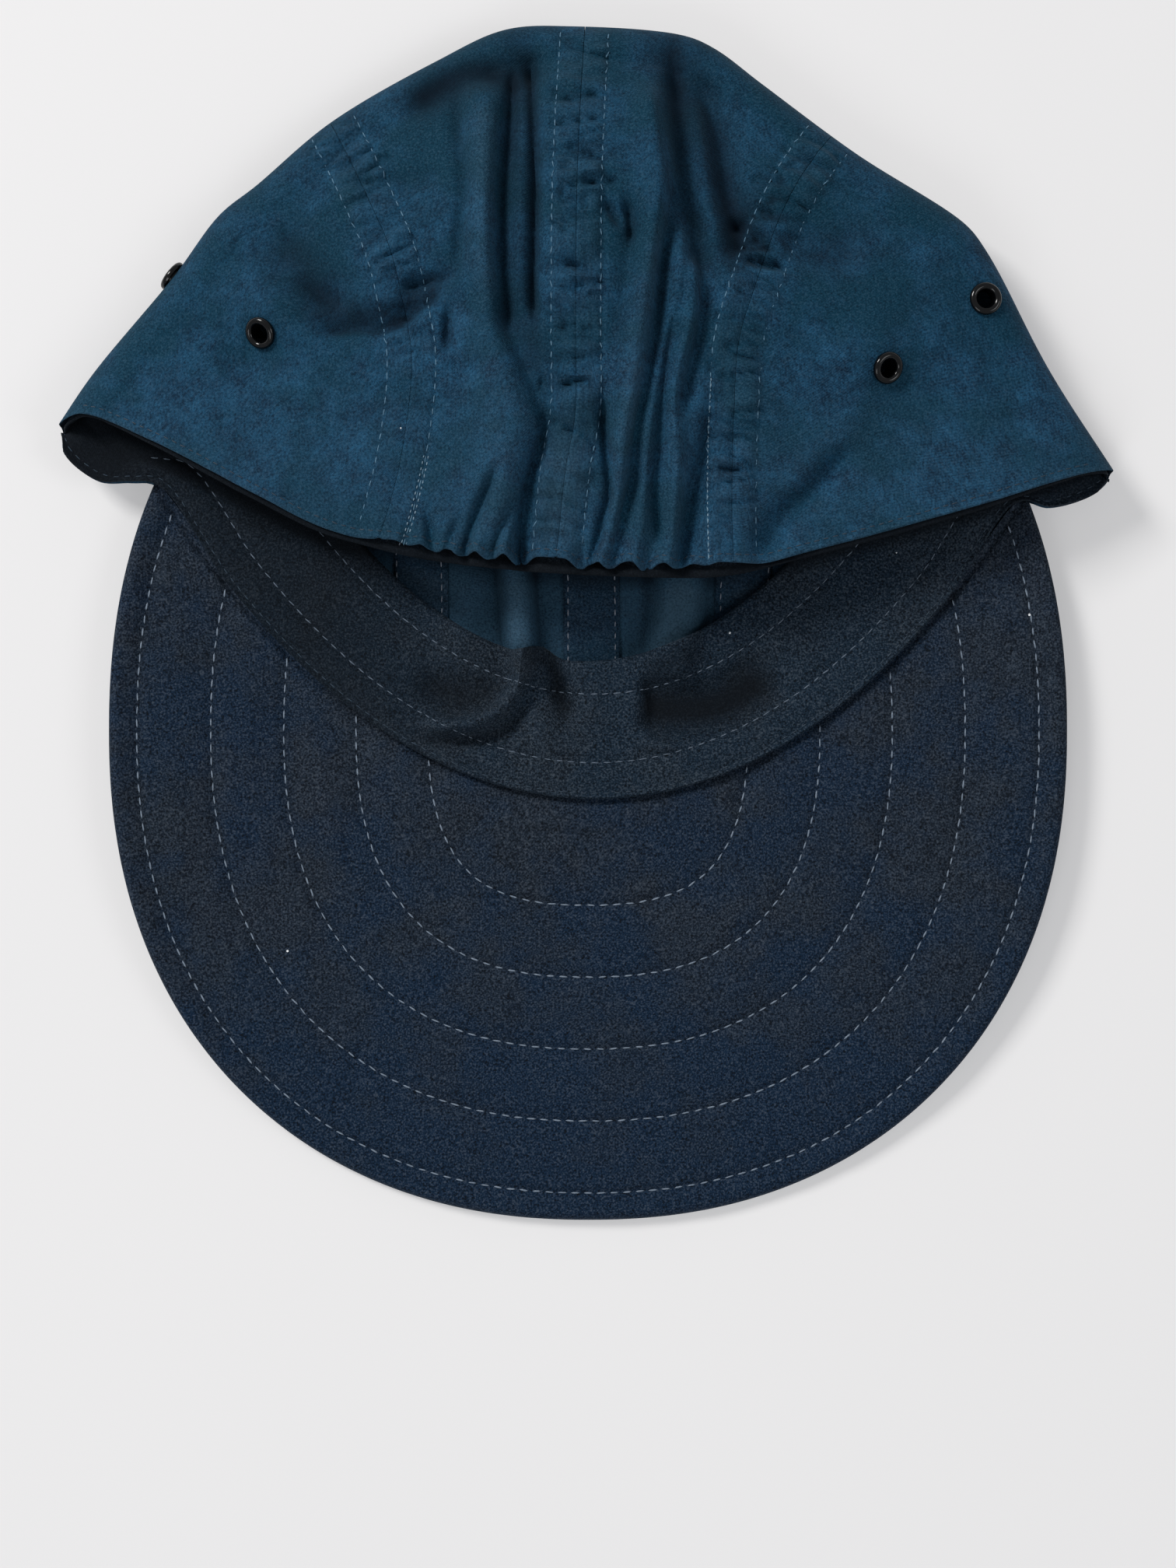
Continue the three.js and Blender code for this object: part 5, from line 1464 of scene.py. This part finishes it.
# Painted shade along each row of stitches, in the groove that the row pulls
peak_tones = ROW_TONE * bell((under_inside - PEAK_ROW_FIRST) % PEAK_ROW_STEP, ROW_TONE_WIDTH)
peak_stains = TIP_STAIN * smooth_step(TIP_STAIN_START, PEAK_TIP_Y, under_plan[..., 1])
under_grids = with_height(under_plan, under_top), with_height(under_plan, under_bottom)
under = cloth_wall("peak_under_cover", *under_grids, PEAK_CLOTH, edge=COVER_EDGE, tones=peak_tones,
                   stains=peak_stains)
placed(under, "peak_cloth", "visor_under_cover")

top_plan, top_inside = peak_grid(TOP_COLUMNS, TOP_ROWS, 0)
rise, round_off = cover_relief(top_plan, top_inside)
lift = side_lift(top_plan[..., 0])
top_low = mix(MIDDLE_HEIGHT - RIM_HALF_GAP, np.maximum(0, TOP_SWELL - rise), round_off) + lift
top_high = np.maximum(np.full_like(top_low, COVER_THICKNESS) + lift, top_low + THINNEST_COVER)
top_grids = with_height(top_plan, top_high), with_height(top_plan, top_low)
top = cloth_wall("peak_top_cover", *top_grids, CROWN_CLOTH, edge=COVER_EDGE)
placed(top, "crown_cloth", "visor_top_cover")

# %% [markdown]
# Stitches from one Geometry Nodes tree
#
# This cap has nearly three thousand stitches, and no hand should place them. Each row is a plain line that
# lies on the cloth and carries the cloth's outward direction. One node tree turns such a line into a curve,
# cuts it to the stitch pitch, and sets a small thread on each point, turned along the row and a bit uneven.
# The result becomes a plain mesh, so nothing has to be computed again later.

# %% The stitch tree
THREAD_SEGMENTS, THREAD_RINGS = 6, 5
THREAD_FLATNESS = 0.8
SWAY_LOW, SWAY_HIGH = (-0.1, -0.1, -0.06), (0.1, 0.1, 0.06)
UNEVEN_LOW, UNEVEN_HIGH = (0.88, 0.85, 0.85), (1.08, 1.1, 1.1)
UNEVEN_SEED_STEP = 7.0


def named_input(group, name, kind, value):
    socket = group.interface.new_socket(name, in_out="INPUT", socket_type=kind)
    if value is not None:
        socket.default_value = value
    return socket.identifier


def stitch_tree():
    group = bpy.data.node_groups.new("stitch_row", "GeometryNodeTree")
    group.interface.new_socket("Geometry", in_out="INPUT", socket_type="NodeSocketGeometry")
    sockets = {
        "Pitch": named_input(group, "Pitch", "NodeSocketFloat", 2.6 * MM),
        "Stitch Length": named_input(group, "Stitch Length", "NodeSocketFloat", 2.1 * MM),
        "Thread Radius": named_input(group, "Thread Radius", "NodeSocketFloat", 0.2 * MM),
        "Lift": named_input(group, "Lift", "NodeSocketFloat", 0.05 * MM),
        "Seed": named_input(group, "Seed", "NodeSocketInt", 1),
        "Thread": named_input(group, "Thread", "NodeSocketMaterial", None),
    }
    group.interface.new_socket("Geometry", in_out="OUTPUT", socket_type="NodeSocketGeometry")
    tree = Tree(group)
    given = tree.add("NodeGroupInput")
    pitch, length = tree.part(given, "Pitch"), tree.part(given, "Stitch Length")
    radius, seed = tree.part(given, "Thread Radius"), tree.part(given, "Seed")
    curve = tree.add("GeometryNodeMeshToCurve", None, {"Mesh": tree.part(given, "Geometry")})
    cut = tree.add("GeometryNodeResampleCurve", {"mode": "LENGTH"}, {"Curve": curve, "Length": pitch})
    points = tree.add("GeometryNodeCurveToPoints", {"mode": "EVALUATED"}, {"Curve": cut}, "Points")
    tangent = tree.part(points, "Tangent")
    vector = {"data_type": "FLOAT_VECTOR"}
    upwards = tree.add("GeometryNodeInputNamedAttribute", vector, {"Name": "up"}, "Attribute")
    sway = tree.add("FunctionNodeRandomValue", vector, {0: SWAY_LOW, 1: SWAY_HIGH, "Seed": seed})
    aim = tree.add("ShaderNodeVectorMath", {"operation": "ADD"}, {0: tangent, 1: sway})
    stand = tree.add("FunctionNodeAlignRotationToVector", {"axis": "Z"}, {"Vector": upwards})
    turn = tree.add("FunctionNodeAlignRotationToVector", {"axis": "X", "pivot_axis": "Z"},
                    {"Rotation": stand, "Vector": aim})
    lift_share = {0: upwards, "Scale": tree.part(given, "Lift")}
    lift = tree.add("ShaderNodeVectorMath", {"operation": "SCALE"}, lift_share)
    raised = tree.add("GeometryNodeSetPosition", None, {"Geometry": points, "Offset": lift})
    ball = {"Segments": THREAD_SEGMENTS, "Rings": THREAD_RINGS, "Radius": 1.0}
    thread = tree.add("GeometryNodeMeshUVSphere", None, ball, "Mesh")
    half = tree.add("ShaderNodeCombineXYZ", None, {0: length * 0.5, 1: radius, 2: radius * THREAD_FLATNESS})
    spread_of_sizes = {0: UNEVEN_LOW, 1: UNEVEN_HIGH, "Seed": seed + UNEVEN_SEED_STEP}
    uneven = tree.add("FunctionNodeRandomValue", vector, spread_of_sizes)
    size = tree.add("ShaderNodeVectorMath", {"operation": "MULTIPLY"}, {0: half, 1: uneven})
    placed_threads = tree.add("GeometryNodeInstanceOnPoints", None,
                              {"Points": raised, "Instance": thread, "Rotation": turn, "Scale": size})
    real = tree.add("GeometryNodeRealizeInstances", None, {"Geometry": placed_threads})
    smooth = tree.add("GeometryNodeSetShadeSmooth", None, {"Geometry": real})
    coloured = {"Geometry": smooth, "Material": tree.part(given, "Thread")}
    ready = tree.add("GeometryNodeSetMaterial", None, coloured)
    tree.add("NodeGroupOutput", None, {"Geometry": ready})
    return group, sockets


STITCHES, STITCH_SOCKETS = stitch_tree()
LINE_STEP = 0.7
FIBRE_SCALE, FIBRE_DEPTH = 2600.0, 0.08


def evenly(points, ups):
    """A row's points at even steps, so that short bends don't bunch the stitches."""
    steps = np.linalg.norm(np.diff(points, axis=0), axis=1)
    lengths = np.concatenate([[0], np.cumsum(steps)])
    at = np.linspace(0, lengths[-1], max(3, int(lengths[-1] / LINE_STEP)))

    def read(values):
        return np.stack([np.interp(at, lengths, values[:, i]) for i in range(3)], -1)

    return read(points), unit(read(ups))


def stitches(name, rows, thread, pitch, length, radius, seed, lift=0.0):
    """One piece of thread for all rows, each row being its points and the directions that it faces."""
    rows = [evenly(points, ups) for points, ups in rows]
    edges, first = [], 0
    for points, ups in rows:
        edges += [(first + i, first + i + 1) for i in range(len(points) - 1)]
        first += len(points)
    mesh = bpy.data.meshes.new(name + "_lines")
    mesh.from_pydata(in_frame(np.concatenate([row[0] for row in rows])).tolist(), edges, [])
    facing = mesh.attributes.new("up", "FLOAT_VECTOR", "POINT")
    directions = np.concatenate([row[1] for row in rows]).astype(np.float32)
    facing.data.foreach_set("vector", directions.ravel())
    line = linked(name + "_lines", mesh)
    modifier = line.modifiers.new("stitches", "NODES")
    modifier.node_group = STITCHES
    values = {"Pitch": pitch * MM, "Stitch Length": length * MM, "Thread Radius": radius * MM,
              "Lift": lift * MM, "Seed": seed, "Thread": thread}
    for key, value in values.items():
        modifier[STITCH_SOCKETS[key]] = value
    sewn = kept_mesh(line)
    line.modifiers.clear()
    bpy.data.objects.remove(line)
    piece = finished(name, sewn, thread)
    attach(piece, BODY)
    print(f"{name}: {len(rows)} rows, {len(sewn.polygons) // (THREAD_SEGMENTS * THREAD_RINGS)} stitches")
    return piece


def thread_material(name, colour, light):
    """Thread with fine fibres, some darker and some lighter."""
    material, tree = new_material(name)
    place = tree.add("ShaderNodeTexCoord", output="Object")
    fibres = noise(tree, place, FIBRE_SCALE, 1.0)
    tint = colour_mix(tree, fibres, colour, light)
    rough = {"Strength": 0.5, "Distance": 1.0, "Height": fibres * (FIBRE_DEPTH * MM)}
    bump = tree.add("ShaderNodeBump", None, rough, "Normal")
    surfaced(tree, {"Base Color": tint, "Roughness": 0.6, "Specular IOR Level": 0.35, "Normal": bump})
    return material


PEAK_THREAD = thread_material("peak_thread", linear(70, 84, 100), linear(128, 140, 154))
CROWN_THREAD = thread_material("crown_thread", linear(38, 72, 96), linear(92, 128, 150))
BAND_THREAD = thread_material("band_thread", linear(50, 62, 76), linear(98, 110, 124))
TAPE_THREAD = thread_material("tape_thread", linear(74, 84, 98), linear(132, 138, 150))
TACK_THREAD = thread_material("tack_thread", linear(62, 92, 112), linear(140, 162, 176))
EDGE_THREAD = thread_material("edge_thread", linear(14, 26, 36), linear(44, 62, 78))

# %% Rows on the peak
SEAM_CLEARANCE = 0.8


def peak_rows(plan, inside, height, facing):
    """Rows of stitches where the rays of a cover's grid reach each row's distance from the rim."""
    rows = []
    for number in range(PEAK_ROW_COUNT):
        target = PEAK_ROW_FIRST + PEAK_ROW_STEP * number
        points = []
        for ray, distances, heights in zip(plan, inside, height):
            if distances[0] < target:
                continue
            order = np.argsort(distances)
            along = (ray[:, 0], ray[:, 1], heights)
            spot = [np.interp(target, distances[order], values[order]) for values in along]
            if spot[1] < arc_y(spot[0]) - SEAM_CLEARANCE:
                points.append(spot)
        points = np.array(points)
        rows.append((points, np.tile([0, 0, facing], (len(points), 1))))
    return rows


under_rows = peak_rows(under_plan, under_inside, under_top, 1.0)
top_rows = peak_rows(top_plan, top_inside, top_low, -1.0)
stitches("stitches_peak_under", under_rows, PEAK_THREAD, pitch=2.8, length=2.1, radius=0.2, seed=1, lift=0.02)
stitches("stitches_peak_top", top_rows, CROWN_THREAD, pitch=2.8, length=2.1, radius=0.2, seed=2)

# %% Rows on the crown, its tapes and its hem
ROW_STEPS = 120
ROW_START, ROW_END, FRONT_ROW_END, HEM_ROW_END = 0.03, 0.985, 0.86, 0.97
SEAM_SHARES = {"back": np.linspace(ROW_START, ROW_END, ROW_STEPS),
               "front": np.linspace(ROW_START, FRONT_ROW_END, ROW_STEPS)}
HEM_STITCH = 1.5
INSIDE_DEPTH = CROWN_THICKNESS + TAPE_GAP + TAPE_THICKNESS
# Under the crown the rows are pressed up into the cloth, so that no thread goes below the table
CROWN_THREAD_RADIUS = 0.15
outside, inside = [], []
for seam in SEAMS:
    for sheet in ("back", "front"):
        for side in (-1, 1):
            plan = seam[sheet].beside(SEAM_SHARES[sheet], side * ROW_OFFSET)
            points, outwards = on_sheet(plan, sheet)
            points[:, 2] = np.maximum(points[:, 2], CROWN_THREAD_RADIUS)
            outside.append((points, outwards))
            points, outwards = on_sheet(plan, sheet, INSIDE_DEPTH)
            inside.append((points, -outwards))

# Near the hem the centre panels are tacked down twice over, beside the seam rows
TACKS = [
    {"seam": 0, "side": 1, "from": 0.8, "offsets": (-0.45, 0.5)},
    {"seam": 2, "side": -1, "from": 0.62, "offsets": (0.1,)},
]
tacked = []
for tack in TACKS:
    line = SEAMS[tack["seam"]]["back"]
    share = np.linspace(tack["from"], ROW_END, ROW_STEPS)
    for offset in tack["offsets"]:
        tacked.append(on_sheet(line.beside(share, tack["side"] * ROW_OFFSET + offset), "back"))

hem_share = np.linspace(ROW_START, HEM_ROW_END, 3 * ROW_STEPS)
hem_points, hem_outwards = on_sheet(BACK_HEM.beside(hem_share, HEM_STITCH), "back")
hem_points[:, 1] += hem_shift(hem_points[:, 0]) * bell(HEM_STITCH, PULL_REACH)
stitches("stitches_crown", outside, CROWN_THREAD, pitch=2.5, length=1.8, radius=CROWN_THREAD_RADIUS, seed=3)
stitches("stitches_tapes", inside, TAPE_THREAD, pitch=2.5, length=1.6, radius=0.16, seed=4)
stitches("stitches_tacks", tacked, TACK_THREAD, pitch=1.25, length=0.8, radius=0.13, seed=8)
stitches("stitches_hem", [(hem_points, hem_outwards)], EDGE_THREAD, pitch=2, length=1.5, radius=0.15, seed=7)

# %% Rows on the sweatband
ROW_CLEARANCE = 21


def band_row(height):
    """A closed row round the band at a height above the hem."""
    share = (height - band_heights[:, 0]) / (band_heights[:, -1] - band_heights[:, 0])
    place = share * BAND_ROWS
    low = place.astype(int)
    station = np.arange(len(band_inner))
    points = mix(band_inner[station, low], band_inner[station, low + 1], (place - low)[:, None])
    directions = -band_normals[station, low]
    return np.concatenate([points, points[:1]]), np.concatenate([directions, directions[:1]])


def clear_of_corners(row):
    """The stretches of a row that stay away from the hem corners, where the thread is tucked out of sight."""
    points, directions = row
    clear = corner_distance(points) > ROW_CLEARANCE
    cuts = np.flatnonzero(np.diff(clear)) + 1
    stretches = zip(np.split(points, cuts), np.split(directions, cuts), np.split(clear, cuts))
    return [(place, facing) for place, facing, kept in stretches if kept[0] and len(place) > 3]


edge_row, *band_rows = [band_row(height) for height in BAND_STITCHES]
band_rows = [stretch for row in band_rows for stretch in clear_of_corners(row)]
stitches("stitches_band", band_rows, BAND_THREAD, pitch=2.6, length=2.0, radius=0.15, seed=5)
stitches("stitches_band_edge", [edge_row], EDGE_THREAD, pitch=2.4, length=1.7, radius=0.14, seed=6)

# %% [markdown]
# Floor, light and camera
#
# The photograph was taken from straight above with a long view, on a plain white surface, with soft light
# from the upper left. The camera looks down from 600 mm, and its lens makes the floor 5.9 pixels to the
# millimetre. A large soft lamp gives the folds their shaded sides and a pale world fills the shadows.

# %% Stage
IMAGE_HEIGHT = 2016
PIXELS_PER_MM = 5.9
CAMERA_HEIGHT = 600
SENSOR = 36
PAPER_GLOW, PAPER_GLOW_COLOUR = 0.335, (0.95, 0.94, 0.945, 1.0)
PAPER_DARK, PAPER_LIGHT = (0.44, 0.435, 0.437, 1.0), (0.46, 0.455, 0.457, 1.0)
WORLD_LIGHT, WORLD_COLOUR = 0.36, (0.95, 0.97, 1.0, 1.0)
FLOOR_REACH = 12.0

paper, paper_tree = new_material("floor_paper")
paper_place = paper_tree.add("ShaderNodeTexCoord", output="Object")
paper_colour = colour_mix(paper_tree, noise(paper_tree, paper_place, 3.0, 4.0), PAPER_DARK, PAPER_LIGHT)
surfaced(paper_tree, {"Base Color": paper_colour, "Roughness": 0.7, "Specular IOR Level": 0.2,
                      "Emission Color": PAPER_GLOW_COLOUR, "Emission Strength": PAPER_GLOW})

floor_mesh = bpy.data.meshes.new("floor")
floor_corners = [(x * FLOOR_REACH, y * FLOOR_REACH, 0) for x, y in ((-1, -1), (1, -1), (1, 1), (-1, 1))]
floor_mesh.from_pydata(floor_corners, [], [(0, 1, 2, 3)])
floor = finished("floor", floor_mesh, paper)

world = bpy.data.worlds.new("studio")
bpy.context.scene.world = world
world.use_nodes = True
background = world.node_tree.nodes["Background"]
background.inputs["Color"].default_value = WORLD_COLOUR
background.inputs["Strength"].default_value = WORLD_LIGHT


def soft_light(name, place, size, power_watts, colour):
    data = bpy.data.lights.new(name, "AREA")
    data.size = size
    data.energy = power_watts
    data.color = colour
    lamp = linked(name, data)
    lamp.location = place
    lamp.rotation_euler = (-Vector(place)).to_track_quat("-Z", "Y").to_euler()
    return lamp


WARM, COOL = (1.0, 0.99, 0.97), (0.95, 0.98, 1.0)
soft_light("key", (-1.35, 1.1, 1.5), size=0.65, power_watts=46.0, colour=WARM)
soft_light("fill", (1.5, -0.2, 1.6), size=0.9, power_watts=8.0, colour=COOL)
soft_light("low_fill", (-0.7, -1.4, 1.6), size=0.9, power_watts=9.0, colour=COOL)

camera_data = bpy.data.cameras.new("camera")
camera_data.sensor_width = SENSOR
camera_data.lens = SENSOR * CAMERA_HEIGHT / (IMAGE_HEIGHT / PIXELS_PER_MM)
camera = linked("camera", camera_data)
camera.location = in_frame([0, 0, CAMERA_HEIGHT])
bpy.context.scene.camera = camera
bpy.context.scene.view_settings.view_transform = "Standard"
